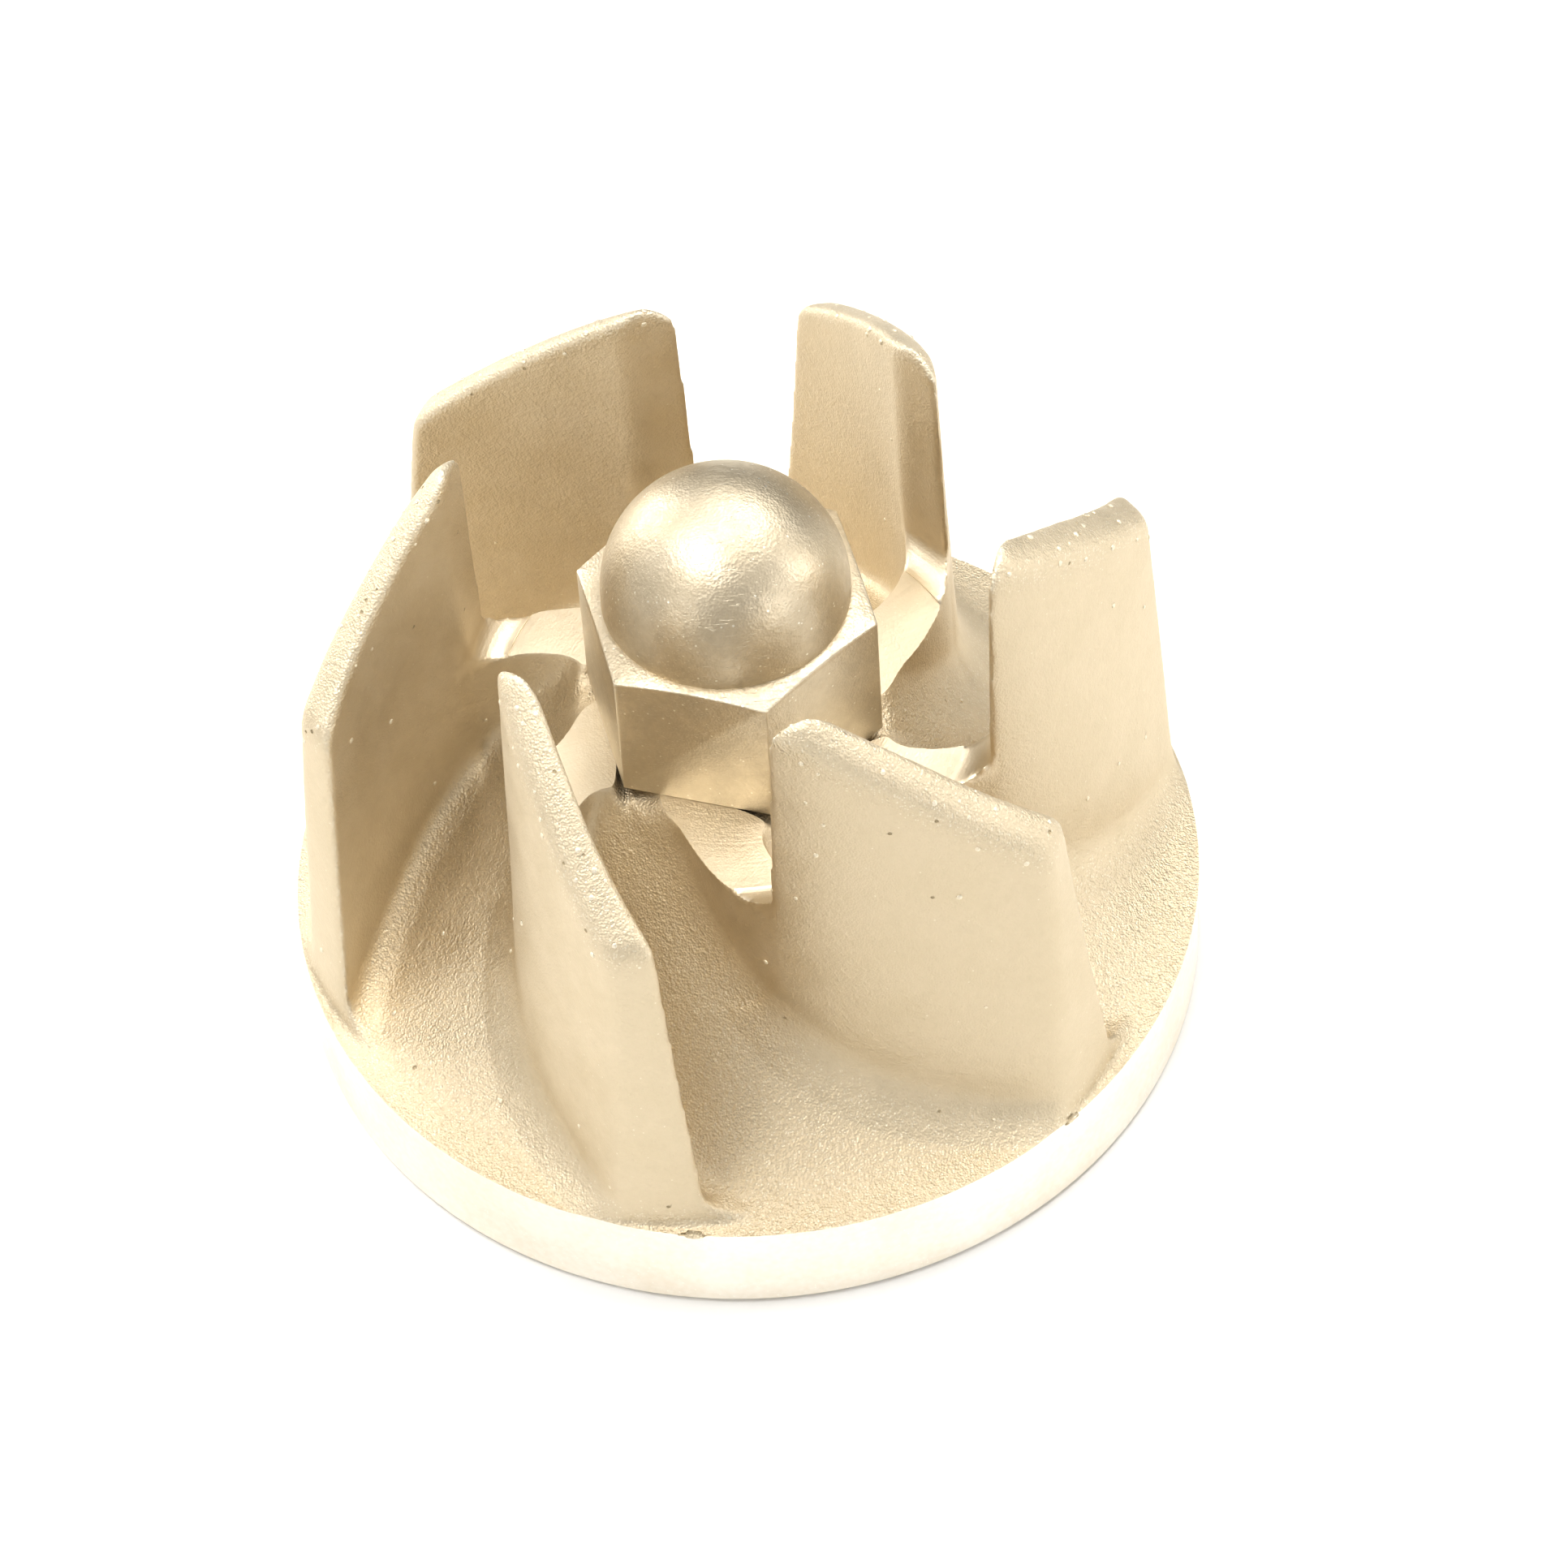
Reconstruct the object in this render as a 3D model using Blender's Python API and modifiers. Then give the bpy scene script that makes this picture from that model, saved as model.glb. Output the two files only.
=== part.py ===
# Mixed-flow pump impeller: one cast and machined wheel with six tall vanes, held by a domed cap nut.
# Metres, +Z up. The origin is the middle of the flat back face that the wheel stands on.
import math

import bmesh
import bpy
from mathutils import Matrix, Vector

# Driving dimensions of the wheel
RIM_RADIUS = 0.042
RIM_HEIGHT = 0.0104
RIM_CHAMFER = 0.0006
SEAT_RISE = 0.0241
HUB_TOP_DROP = 0.0012
BORE_RADIUS = 0.008
KEYWAY_WIDTH = 0.005
KEYWAY_DEPTH = 0.0023

# Driving dimensions of the vanes. A tip is a radius and a rise above the rim.
VANE_COUNT = 6
VANE_START = math.radians(101.0)
INNER_TIP = (0.0251, 0.0498)
OUTER_TIP = (0.0385, 0.0360)
OUTER_FOOT_RADIUS = 0.0411
FOOT_THICKNESS = 0.0048
INNER_TIP_THICKNESS = 0.0031
OUTER_TIP_THICKNESS = 0.0038
TIP_FALL = 0.0015
FOOT_FILLET = 0.0022
FOOT_SKEW = math.radians(43.0)
TIP_SKEW = math.radians(30.0)
OUTER_CORNER = 0.0016
EDGE_ROUNDING = 0.0007
EDGE_ANGLE = math.radians(40.0)
EYE_RADIUS = 0.0251
EYE_FILLET = 0.0036
EYE_CORNER = 0.0012

# Driving dimensions of the cap nut, for a 16 mm thread
NUT_FLAT_RADIUS = 0.012
NUT_HEX_HEIGHT = 0.0148
NUT_DOME_RADIUS = 0.0111
NUT_NECK_HEIGHT = 0.0009
NUT_TURN = math.radians(161.7)
NUT_HOLE_RADIUS = 0.007
NUT_HOLE_DEPTH = 0.020
NUT_DRILL_CONE = 0.003
NUT_CHAMFER_ANGLE = math.radians(15.0)
NUT_CHAMFER_INSET = 0.0007

# Clearance between touching pieces, overrun of the cutters, and fineness
FIT_GAP = 0.0003
OVERRUN = 0.002
TURNED_STEPS = 72
NUT_STEPS = 48
ARC_STEPS = 5

# Camber of the vanes: angle swept in degrees, at a share of the rim's radius
FOOT_CAMBER = ((0.25, -27.0), (0.40, -14.5), (0.55, -4.0), (0.70, 10.0), (0.85, 25.5), (1.0, 38.0))
TIP_CAMBER = ((0.45, -19.0), (0.60, 3.0), (0.70, 15.9), (0.81, 25.8), (0.92, 34.4))

# Meridional outline of the hub's water side, as a radius and a rise above the rim
HUB_OUTLINE = (
    (0.0140, SEAT_RISE - HUB_TOP_DROP),
    (0.0152, 0.0212),
    (0.0185, 0.0174),
    (0.0225, 0.0128),
    (0.0275, 0.0080),
    (0.0330, 0.0037),
    (0.0380, 0.0010),
    (0.0420, 0.0),
)

# Where the loft of a vane has its sections: shares of its run, and of its height above the fillet
ROOT_REACH = -0.88
STATION_STEPS = 13
CORNER_STEPS = 3
FILLET_SHARES = (0.08, 0.36, 1.0)
LAYER_SHARES = (0.30, 0.60, 0.80)
FOOT_SINK = 0.0020


def interpolate(points, x):
    """Smooth curve through a few points, with straight ends."""
    last = len(points) - 1
    slopes = []
    for index in range(last + 1):
        before = points[max(index - 1, 0)]
        after = points[min(index + 1, last)]
        slopes.append((after[1] - before[1]) / (after[0] - before[0]))
    if x <= points[0][0]:
        return points[0][1] + slopes[0] * (x - points[0][0])
    for index in range(last):
        x0, y0 = points[index]
        x1, y1 = points[index + 1]
        if x <= x1:
            width = x1 - x0
            t = (x - x0) / width
            level = (2 * t**3 - 3 * t**2 + 1) * y0 + (3 * t**2 - 2 * t**3) * y1
            swing = (t**3 - 2 * t**2 + t) * slopes[index] + (t**3 - t**2) * slopes[index + 1]
            return level + width * swing
    return points[last][1] + slopes[last] * (x - points[last][0])


def polar(radius, angle, height):
    return Vector((radius * math.cos(angle), radius * math.sin(angle), height))


def make_collection(name):
    collection = bpy.data.collections.new(name)
    bpy.context.scene.collection.children.link(collection)
    return collection


def make_material(name, colour, roughness, metallic):
    material = bpy.data.materials.new(name)
    material.use_nodes = True
    shader = material.node_tree.nodes["Principled BSDF"]
    shader.inputs["Base Color"].default_value = (*colour, 1.0)
    shader.inputs["Roughness"].default_value = roughness
    shader.inputs["Metallic"].default_value = metallic
    return material


def add_object(name, mesh, collection):
    piece = bpy.data.objects.new(name, mesh)
    collection.objects.link(piece)
    return piece


def turned(name, outline, collection, steps):
    """Turn a profile about Z. At +X it runs down its outer side."""
    mesh = bpy.data.meshes.new(name)
    edges = [(index, index + 1) for index in range(len(outline) - 1)]
    mesh.from_pydata([(radius, 0.0, height) for radius, height in outline], edges, [])
    piece = add_object(name, mesh, collection)
    screw = piece.modifiers.new("Turn", "SCREW")
    screw.steps = steps
    screw.render_steps = steps
    screw.use_merge_vertices = True
    screw.merge_threshold = 0.00001
    return piece


def turned_cutter(name, outline, collection, steps):
    cutter = turned(name, outline, collection, steps)
    hide_cutter(cutter)
    return cutter


def hide_cutter(piece):
    piece.hide_render = True
    piece.display_type = "WIRE"


def boolean(piece, other, operation):
    modifier = piece.modifiers.new(other.name, "BOOLEAN")
    modifier.operation = operation
    modifier.solver = "EXACT"
    modifier.object = other


def arc(centre_radius, centre_height, radius, start, end, steps):
    """Points of a profile arc, its angles in degrees from the outward direction."""
    points = []
    for index in range(steps + 1):
        angle = math.radians(start + (end - start) * index / steps)
        points.append((centre_radius + radius * math.cos(angle), centre_height + radius * math.sin(angle)))
    return points


def hub_height(point):
    """Height of the hub's water side at a point's distance from the axis."""
    radius = min(max(point.xy.length, HUB_OUTLINE[0][0]), RIM_RADIUS)
    return RIM_HEIGHT + interpolate(HUB_OUTLINE, radius)


def vane_point(station, layer):
    """Middle surface of the first vane, from station 0 at the eye to 1 outside, and layer 1 at the tip."""
    foot_radius = EYE_RADIUS + (OUTER_FOOT_RADIUS - EYE_RADIUS) * station
    tip_radius = INNER_TIP[0] + (OUTER_TIP[0] - INNER_TIP[0]) * station
    foot_angle = interpolate(FOOT_CAMBER, foot_radius / RIM_RADIUS)
    tip_angle = interpolate(TIP_CAMBER, tip_radius / RIM_RADIUS)
    foot_height = hub_height(Vector((foot_radius, 0.0, 0.0)))
    tip_height = RIM_HEIGHT + INNER_TIP[1] + (OUTER_TIP[1] - INNER_TIP[1]) * max(station, 0.0)
    radius = foot_radius + (tip_radius - foot_radius) * layer
    angle = VANE_START + math.radians(foot_angle + (tip_angle - foot_angle) * layer)
    return polar(radius, angle, foot_height + (tip_height - foot_height) * layer)


def vane_frame(station, layer):
    """Direction outward along the vane, with its length for one station, and the normal of its outer face."""
    step = 0.01
    along = (vane_point(station + step, layer) - vane_point(station - step, layer)) / (2 * step)
    upward = vane_point(station, layer + step) - vane_point(station, layer - step)
    return along, along.cross(upward).normalized()


def corner_drop(distance, radius):
    """How far a rounded corner lies below its square corner, at a distance from its end."""
    short = max(radius - max(distance, 0.0), 0.0)
    return radius - math.sqrt(radius**2 - short**2)


def vane_stations():
    """Even steps from the root, then closer ones round the corner of the outer edge."""
    run = vane_frame(1.0, 1.0)[0].length
    corner = OUTER_CORNER / run
    stations = []
    for step in range(STATION_STEPS):
        stations.append(ROOT_REACH + (1.0 - corner - ROOT_REACH) * step / (STATION_STEPS - 1))
    for step in range(1, CORNER_STEPS + 1):
        stations.append(1.0 - corner * math.cos(math.radians(90 * step / CORNER_STEPS)))
    return stations


def vane_layers(station, side):
    """Layer and half thickness of each row: below the foot, up the fillet, then up to the tip.

    The tip falls a little toward the vane's outer face, which is side 1."""
    floor = vane_point(station, 0.0).z
    height = vane_point(station, 1.0).z - floor
    run = vane_frame(1.0, 1.0)[0].length
    drop = corner_drop((1.0 - station) * run, OUTER_CORNER) + side * TIP_FALL / 2
    top = 1.0 - drop / height
    foot = FOOT_THICKNESS / 2

    def hub_layer(half):
        return (hub_height(vane_side_point(station, 0.0, half, side)) - floor) / height

    tip_thickness = INNER_TIP_THICKNESS + (OUTER_TIP_THICKNESS - INNER_TIP_THICKNESS) * station
    rows = [(hub_layer(foot + FOOT_FILLET) - FOOT_SINK / height, foot + FOOT_FILLET)]
    for share in FILLET_SHARES:
        rise = FOOT_FILLET * share
        half = foot + corner_drop(rise, FOOT_FILLET)
        rows.append((hub_layer(half) + rise / height, half))
    for share in LAYER_SHARES + (1.0,):
        thickness = FOOT_THICKNESS + (tip_thickness - FOOT_THICKNESS) * share
        start = hub_layer(foot) + FOOT_FILLET / height
        rows.append((start + (top - start) * share, thickness / 2))
    return rows


def vane_side_point(station, layer, half, side):
    """A point on one face. The outer edge is cut skew, so the faces end at different stations."""
    along, normal = vane_frame(station, layer)
    skew = FOOT_SKEW + (TIP_SKEW - FOOT_SKEW) * max(layer, 0.0)
    shift = half * math.tan(skew) / along.length * max(station, 0.0)
    return vane_point(station - side * shift, layer) + normal * side * half


def make_vane(index, collection):
    """Loft one vane between its two faces, from under its foot to its tip."""
    shape = bmesh.new()
    turn = Matrix.Rotation(-2 * math.pi * index / VANE_COUNT, 3, "Z")
    grids = []
    for side in (1, -1):
        grid = []
        for station in vane_stations():
            rows = vane_layers(station, side)
            points = [vane_side_point(station, layer, half, side) for layer, half in rows]
            grid.append([shape.verts.new(turn @ point) for point in points])
        grids.append(grid)
    front, back = grids
    last_row = len(front[0]) - 1
    last_column = len(front) - 1
    for column in range(last_column):
        for row in range(last_row):
            shape.faces.new(quad(front, column, row))
            shape.faces.new(reversed(quad(back, column, row)))
    border = [(column, 0) for column in range(last_column)]
    border += [(last_column, row) for row in range(last_row)]
    border += [(column, last_row) for column in range(last_column, 0, -1)]
    border += [(0, row) for row in range(last_row, 0, -1)]
    for spot, following in zip(border, border[1:] + border[:1]):
        corners = (front, spot), (back, spot), (back, following), (front, following)
        shape.faces.new([grid[column][row] for grid, (column, row) in corners])
    bmesh.ops.recalc_face_normals(shape, faces=shape.faces)
    mesh = bpy.data.meshes.new(f"vane_{index + 1}")
    shape.to_mesh(mesh)
    shape.free()
    vane = add_object(f"vane_{index + 1}", mesh, collection)
    hide_cutter(vane)
    bevel = vane.modifiers.new("Cast edges", "BEVEL")
    bevel.width = EDGE_ROUNDING
    bevel.segments = 1
    bevel.limit_method = "ANGLE"
    bevel.angle_limit = EDGE_ANGLE
    return vane


def quad(grid, column, row):
    return (
        grid[column][row],
        grid[column + 1][row],
        grid[column + 1][row + 1],
        grid[column][row + 1],
    )


def make_eye_cutter(cutters):
    """The turned cut round the nut: a flat seat, a fillet, the ends of the vanes and their corners."""
    seat = RIM_HEIGHT + SEAT_RISE
    tip = RIM_HEIGHT + INNER_TIP[1]
    top = tip + 2 * OVERRUN
    eye = [(0.0, top), (EYE_RADIUS + EYE_CORNER, top)]
    eye += arc(EYE_RADIUS + EYE_CORNER, tip - EYE_CORNER, EYE_CORNER, 90, 180, ARC_STEPS)
    eye += arc(EYE_RADIUS - EYE_FILLET, seat + EYE_FILLET, EYE_FILLET, 0, -90, ARC_STEPS)
    eye.append((0.0, seat))
    return turned_cutter("eye_cutter", eye, cutters, TURNED_STEPS)


def make_rim_cutter(cutters):
    """The turned outside: everything kept lies inside it."""
    top = RIM_HEIGHT + INNER_TIP[1] + OVERRUN
    outside = [(0.0, top), (RIM_RADIUS, top), (RIM_RADIUS, RIM_CHAMFER)]
    outside += [(RIM_RADIUS - RIM_CHAMFER, 0.0), (0.0, 0.0)]
    return turned_cutter("rim_cutter", outside, cutters, 2 * TURNED_STEPS)


def make_bore_cutter(cutters):
    top = RIM_HEIGHT + SEAT_RISE + OVERRUN
    bore = [(0.0, top), (BORE_RADIUS, top), (BORE_RADIUS, -OVERRUN), (0.0, -OVERRUN)]
    return turned_cutter("bore_cutter", bore, cutters, NUT_STEPS)


def make_keyway_cutter(cutters):
    mesh = bpy.data.meshes.new("keyway_cutter")
    shape = bmesh.new()
    bmesh.ops.create_cube(shape, size=1.0)
    reach = BORE_RADIUS + KEYWAY_DEPTH
    tall = RIM_HEIGHT + SEAT_RISE + 2 * OVERRUN
    bmesh.ops.scale(shape, verts=shape.verts, vec=(reach, KEYWAY_WIDTH, tall))
    bmesh.ops.translate(shape, verts=shape.verts, vec=(reach / 2, 0.0, tall / 2 - OVERRUN))
    shape.to_mesh(mesh)
    shape.free()
    cutter = add_object("keyway_cutter", mesh, cutters)
    hide_cutter(cutter)
    return cutter


def make_wheel(parts, cutters):
    """Turned hub and back plate, with six vanes joined to it, then the machined cuts."""
    wide = RIM_RADIUS + OVERRUN
    hub = [(radius, RIM_HEIGHT + rise) for radius, rise in HUB_OUTLINE]
    hub = [(0.0, hub[0][1])] + hub
    hub += [(wide, RIM_HEIGHT), (wide, -OVERRUN), (0.0, -OVERRUN)]
    wheel = turned("impeller_casting", hub, parts, TURNED_STEPS)
    boolean(wheel, make_bore_cutter(cutters), "DIFFERENCE")
    boolean(wheel, make_keyway_cutter(cutters), "DIFFERENCE")
    for index in range(VANE_COUNT):
        boolean(wheel, make_vane(index, cutters), "UNION")
    boolean(wheel, make_eye_cutter(cutters), "DIFFERENCE")
    boolean(wheel, make_rim_cutter(cutters), "INTERSECT")
    wheel.data.materials.append(make_material("cast_steel", (0.62, 0.53, 0.40), 0.45, 0.9))


def make_nut(parts, cutters):
    """Six-sided block, chamfered at its top corners, with a dome on it and a blind hole below."""
    base = RIM_HEIGHT + SEAT_RISE + FIT_GAP
    hex_top = base + NUT_HEX_HEIGHT
    corner = NUT_FLAT_RADIUS / math.cos(math.pi / 6)
    mesh = bpy.data.meshes.new("cap_nut")
    shape = bmesh.new()
    block = {"cap_ends": True, "segments": 6, "radius1": corner, "radius2": corner}
    bmesh.ops.create_cone(shape, depth=NUT_HEX_HEIGHT, **block)
    shape.verts.ensure_lookup_table()
    first_corner = shape.verts[0].co
    turn = NUT_TURN - math.atan2(first_corner.y, first_corner.x)
    bmesh.ops.rotate(shape, verts=shape.verts, matrix=Matrix.Rotation(turn, 3, "Z"))
    bmesh.ops.translate(shape, verts=shape.verts, vec=(0, 0, base + NUT_HEX_HEIGHT / 2))
    shape.to_mesh(mesh)
    shape.free()
    nut = add_object("cap_nut", mesh, parts)

    reach = corner + OVERRUN
    face = NUT_FLAT_RADIUS - NUT_CHAMFER_INSET
    fall = (reach - face) * math.tan(NUT_CHAMFER_ANGLE)
    blank = [(0.0, hex_top), (face, hex_top), (reach, hex_top - fall)]
    blank += [(reach, base - OVERRUN), (0.0, base - OVERRUN)]
    boolean(nut, turned_cutter("nut_blank", blank, cutters, NUT_STEPS), "INTERSECT")

    neck_top = hex_top + NUT_NECK_HEIGHT
    dome = [(0.0, neck_top + NUT_DOME_RADIUS)]
    dome += arc(0.0, neck_top, NUT_DOME_RADIUS, 90, 0, 2 * ARC_STEPS)[1:]
    dome += [(NUT_DOME_RADIUS, hex_top - OVERRUN), (0.0, hex_top - OVERRUN)]
    boolean(nut, turned_cutter("nut_dome", dome, cutters, NUT_STEPS), "UNION")

    hole_top = base + NUT_HOLE_DEPTH
    hole = [(0.0, hole_top), (NUT_HOLE_RADIUS, hole_top - NUT_DRILL_CONE)]
    hole += [(NUT_HOLE_RADIUS, base - OVERRUN), (0.0, base - OVERRUN)]
    boolean(nut, turned_cutter("nut_hole", hole, cutters, NUT_STEPS), "DIFFERENCE")
    nut.data.materials.append(make_material("nut_steel", (0.66, 0.58, 0.46), 0.35, 0.9))


def main():
    for item in list(bpy.data.objects):
        bpy.data.objects.remove(item, do_unlink=True)
    parts = make_collection("pump_impeller")
    cutters = make_collection("cutters")
    make_wheel(parts, cutters)
    make_nut(parts, cutters)


main()
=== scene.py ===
# %% [markdown]
# # A pump impeller and its cap nut
#
# The real object is a small pump wheel. Six tall vanes stand on a round back plate, all poured as one piece of
# steel, blasted, and then turned on a lathe where it has to be exact. A domed nut holds it on its shaft.
#
# A notebook like this one starts from the imported part. Its solids are the frame, and nothing here moves them:
# each cell makes a finer piece that stands where a solid does.

# %% Load the imported part
import math

import bmesh
import bpy
import numpy as np
from mathutils import Matrix, Vector


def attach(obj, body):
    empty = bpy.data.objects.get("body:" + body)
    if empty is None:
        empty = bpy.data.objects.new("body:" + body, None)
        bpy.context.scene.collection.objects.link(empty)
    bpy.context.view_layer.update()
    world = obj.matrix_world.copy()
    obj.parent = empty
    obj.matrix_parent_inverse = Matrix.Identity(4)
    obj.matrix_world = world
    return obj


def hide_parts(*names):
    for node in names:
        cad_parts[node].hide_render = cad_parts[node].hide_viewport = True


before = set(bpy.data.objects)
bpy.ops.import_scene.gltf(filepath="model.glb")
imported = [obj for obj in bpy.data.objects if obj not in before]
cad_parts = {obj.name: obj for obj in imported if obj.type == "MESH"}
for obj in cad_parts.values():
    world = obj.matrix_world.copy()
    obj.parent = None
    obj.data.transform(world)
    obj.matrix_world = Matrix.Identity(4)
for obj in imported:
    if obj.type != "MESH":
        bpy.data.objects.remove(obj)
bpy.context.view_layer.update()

print("Solids:", sorted(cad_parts))

# %% [markdown]
# ## Camera
#
# The photograph was taken from well above the wheel, with a long lens. The camera could be placed by eye, but a
# circle seen from an angle is a strict ruler: the rim, the ring of vane tips and the nut's corners fix the
# height, the distance and a small roll of four degrees. The numbers below come from such a fit, in rim radii.

# %% Place the camera
RIM_RADIUS = 0.042
RIM_HEIGHT = 0.0104
CAMERA_DISTANCE = 14.0
CAMERA_ELEVATION = math.radians(51.22)
CAMERA_ROLL = math.radians(-4.012)
CAMERA_SLIDE = (0.09379, 0.1734)
FOCAL_PIXELS = 7777.0
FRAME_PIXELS = 1932.0
SENSOR_WIDTH = 36.0
CLIP_RANGE = (0.01, 20.0)


def camera_axes():
    """Forward, right and up of the view, before the roll."""
    high, flat = math.sin(CAMERA_ELEVATION), math.cos(CAMERA_ELEVATION)
    forward = Vector((0.0, flat, -high))
    right = Vector((1.0, 0.0, 0.0))
    up = Vector((0.0, high, flat))
    return forward, right, up


def place_camera():
    forward, right, up = camera_axes()
    turn, lift = math.cos(CAMERA_ROLL), math.sin(CAMERA_ROLL)
    rolled_right = right * turn + up * lift
    rolled_up = up * turn - right * lift
    spot = (right * CAMERA_SLIDE[0] + up * CAMERA_SLIDE[1] - forward * CAMERA_DISTANCE) * RIM_RADIUS
    spot.z += RIM_HEIGHT
    data = bpy.data.cameras.new("camera")
    data.sensor_width = SENSOR_WIDTH
    data.lens = SENSOR_WIDTH * FOCAL_PIXELS / FRAME_PIXELS
    data.clip_start, data.clip_end = CLIP_RANGE
    camera = bpy.data.objects.new("camera", data)
    columns = Matrix((rolled_right, rolled_up, -forward)).transposed()
    camera.matrix_world = Matrix.Translation(spot) @ columns.to_4x4()
    bpy.context.scene.collection.objects.link(camera)
    bpy.context.scene.camera = camera
    return camera


camera = place_camera()
print(f"Lens {camera.data.lens:.1f} mm, {camera.location.length:.3f} m from the wheel")

# %% [markdown]
# ## Small helpers for node trees
#
# Blender's node trees can be drawn by hand, but a tree that a script writes can be read, changed and run again.
# A few short helpers keep the writing down: one makes a tree with named sockets, one adds a node and feeds it,
# one places a group, and the rest add a sum, a straight line or a soft step. The same helpers serve geometry and
# materials, because both use the same maths.

# %% Helpers for node trees
FLOAT, INTEGER, VECTOR = "NodeSocketFloat", "NodeSocketInt", "NodeSocketVector"
GEOMETRY, MATERIAL = "NodeSocketGeometry", "NodeSocketMaterial"


def new_tree(kind, name, inputs, outputs):
    """A node tree with named sockets. An input is a name, a type and, if it has one, a default."""
    tree = bpy.data.node_groups.new(name, kind)
    for label, socket_type, *default in inputs:
        socket = tree.interface.new_socket(label, in_out="INPUT", socket_type=socket_type)
        if default:
            socket.default_value = default[0]
    for label, socket_type in outputs:
        tree.interface.new_socket(label, in_out="OUTPUT", socket_type=socket_type)
    return tree, tree.nodes.new("NodeGroupInput").outputs, tree.nodes.new("NodeGroupOutput").inputs


def feed(tree, socket, value):
    """Give a socket a link or a plain value."""
    if isinstance(value, bpy.types.NodeSocket):
        tree.links.new(value, socket)
    else:
        socket.default_value = value


def add(tree, kind, inputs=None, **settings):
    """Add a node. Its inputs go by their names, and its settings are plain words."""
    made = tree.nodes.new(kind)
    for name, value in settings.items():
        setattr(made, name, value)
    for name, value in (inputs or {}).items():
        feed(tree, made.inputs[name], value)
    return made


def group(tree, inner, **inputs):
    """Place a node group. Words in a socket's name are joined by underscores."""
    kind = "GeometryNodeGroup" if tree.bl_idname == "GeometryNodeTree" else "ShaderNodeGroup"
    made = add(tree, kind, node_tree=inner)
    for name, value in inputs.items():
        feed(tree, made.inputs[name.replace("_", " ").capitalize()], value)
    return made.outputs


def maths(tree, operation, *values):
    """One sum, with its values in order."""
    made = add(tree, "ShaderNodeMath", operation=operation)
    for socket, value in zip(made.inputs, values):
        feed(tree, socket, value)
    return made.outputs[0]


def plus(tree, first, second):
    return maths(tree, "ADD", first, second)


def minus(tree, first, second):
    return maths(tree, "SUBTRACT", first, second)


def times(tree, first, second):
    return maths(tree, "MULTIPLY", first, second)


def over(tree, first, second):
    return maths(tree, "DIVIDE", first, second)


def vectors(tree, operation, *values):
    """One sum with vectors."""
    made = add(tree, "ShaderNodeVectorMath", operation=operation)
    for socket, value in zip(made.inputs, values):
        feed(tree, socket, value)
    return made.outputs["Value" if operation in ("LENGTH", "DOT_PRODUCT") else "Vector"]


def scaled(tree, vector, factor):
    return add(tree, "ShaderNodeVectorMath", {"Vector": vector, "Scale": factor}, operation="SCALE").outputs[0]


def between(tree, low, high, share):
    """low at share 0, high at share 1, and a straight line beyond both."""
    return maths(tree, "MULTIPLY_ADD", minus(tree, high, low), share, low)


def ramp(tree, value, start, end):
    """0 before start, 1 after end and a soft step between them."""
    made = add(tree, "ShaderNodeMapRange", {"Value": value, "From Min": start, "From Max": end})
    made.interpolation_type = "SMOOTHSTEP"
    return made.outputs["Result"]


print("Helpers ready for geometry and materials")

# %% [markdown]
# ## Shape of the wheel as a few rules
#
# The hub is a turned form, so one outline says all of it. Each vane is a thin wall whose foot and tip follow two
# different curves: at each distance from the axis, the curve says how far the wall has swept round. The wall is
# everything between the two. A handful of points for each curve is enough, and a smooth line runs through them.

# %% Curves of hub and vanes
SEAT_RISE = 0.0241
HUB_TOP_DROP = 0.0012
HUB_OUTLINE = (
    (0.0140, SEAT_RISE - HUB_TOP_DROP),
    (0.0152, 0.0212),
    (0.0185, 0.0174),
    (0.0225, 0.0128),
    (0.0275, 0.0080),
    (0.0330, 0.0037),
    (0.0380, 0.0010),
    (0.0420, 0.0),
)
FOOT_CAMBER = ((0.25, -27.0), (0.40, -14.5), (0.55, -4.0), (0.70, 10.0), (0.85, 25.5), (1.0, 38.0))
TIP_CAMBER = ((0.45, -19.0), (0.60, 3.0), (0.70, 15.9), (0.81, 25.8), (0.92, 34.4))
CAMBER_SPAN = 120.0
CAMBER_RANGE = (0.22, 1.12)
CAMBER_STEPS = 18
HUB_STEPS = 24


def smooth_curve(points, x):
    """Smooth line through a few points, with straight ends."""
    last = len(points) - 1
    slopes = []
    for index in range(last + 1):
        before, after = points[max(index - 1, 0)], points[min(index + 1, last)]
        slopes.append((after[1] - before[1]) / (after[0] - before[0]))
    if x <= points[0][0]:
        return points[0][1] + slopes[0] * (x - points[0][0])
    if x >= points[last][0]:
        return points[last][1] + slopes[last] * (x - points[last][0])
    index = max(step for step in range(last) if points[step][0] <= x)
    (x0, y0), (x1, y1) = points[index], points[index + 1]
    width = x1 - x0
    t = (x - x0) / width
    level = (2 * t**3 - 3 * t**2 + 1) * y0 + (3 * t**2 - 2 * t**3) * y1
    swing = (t**3 - 2 * t**2 + t) * slopes[index] + (t**3 - t**2) * slopes[index + 1]
    return level + width * swing


def hub_height(radius):
    """Height of the hub's skin at a distance from the axis."""
    inside = min(max(radius, HUB_OUTLINE[0][0]), RIM_RADIUS)
    return RIM_HEIGHT + smooth_curve(HUB_OUTLINE, inside)


def sampled(points):
    """A camber as points for a Float Curve node, which works from 0 to 1."""
    first, last = CAMBER_RANGE
    found = []
    for step in range(CAMBER_STEPS + 1):
        x = first + (last - first) * step / CAMBER_STEPS
        found.append((x, (smooth_curve(points, x) + CAMBER_SPAN / 2) / CAMBER_SPAN))
    return found


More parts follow.
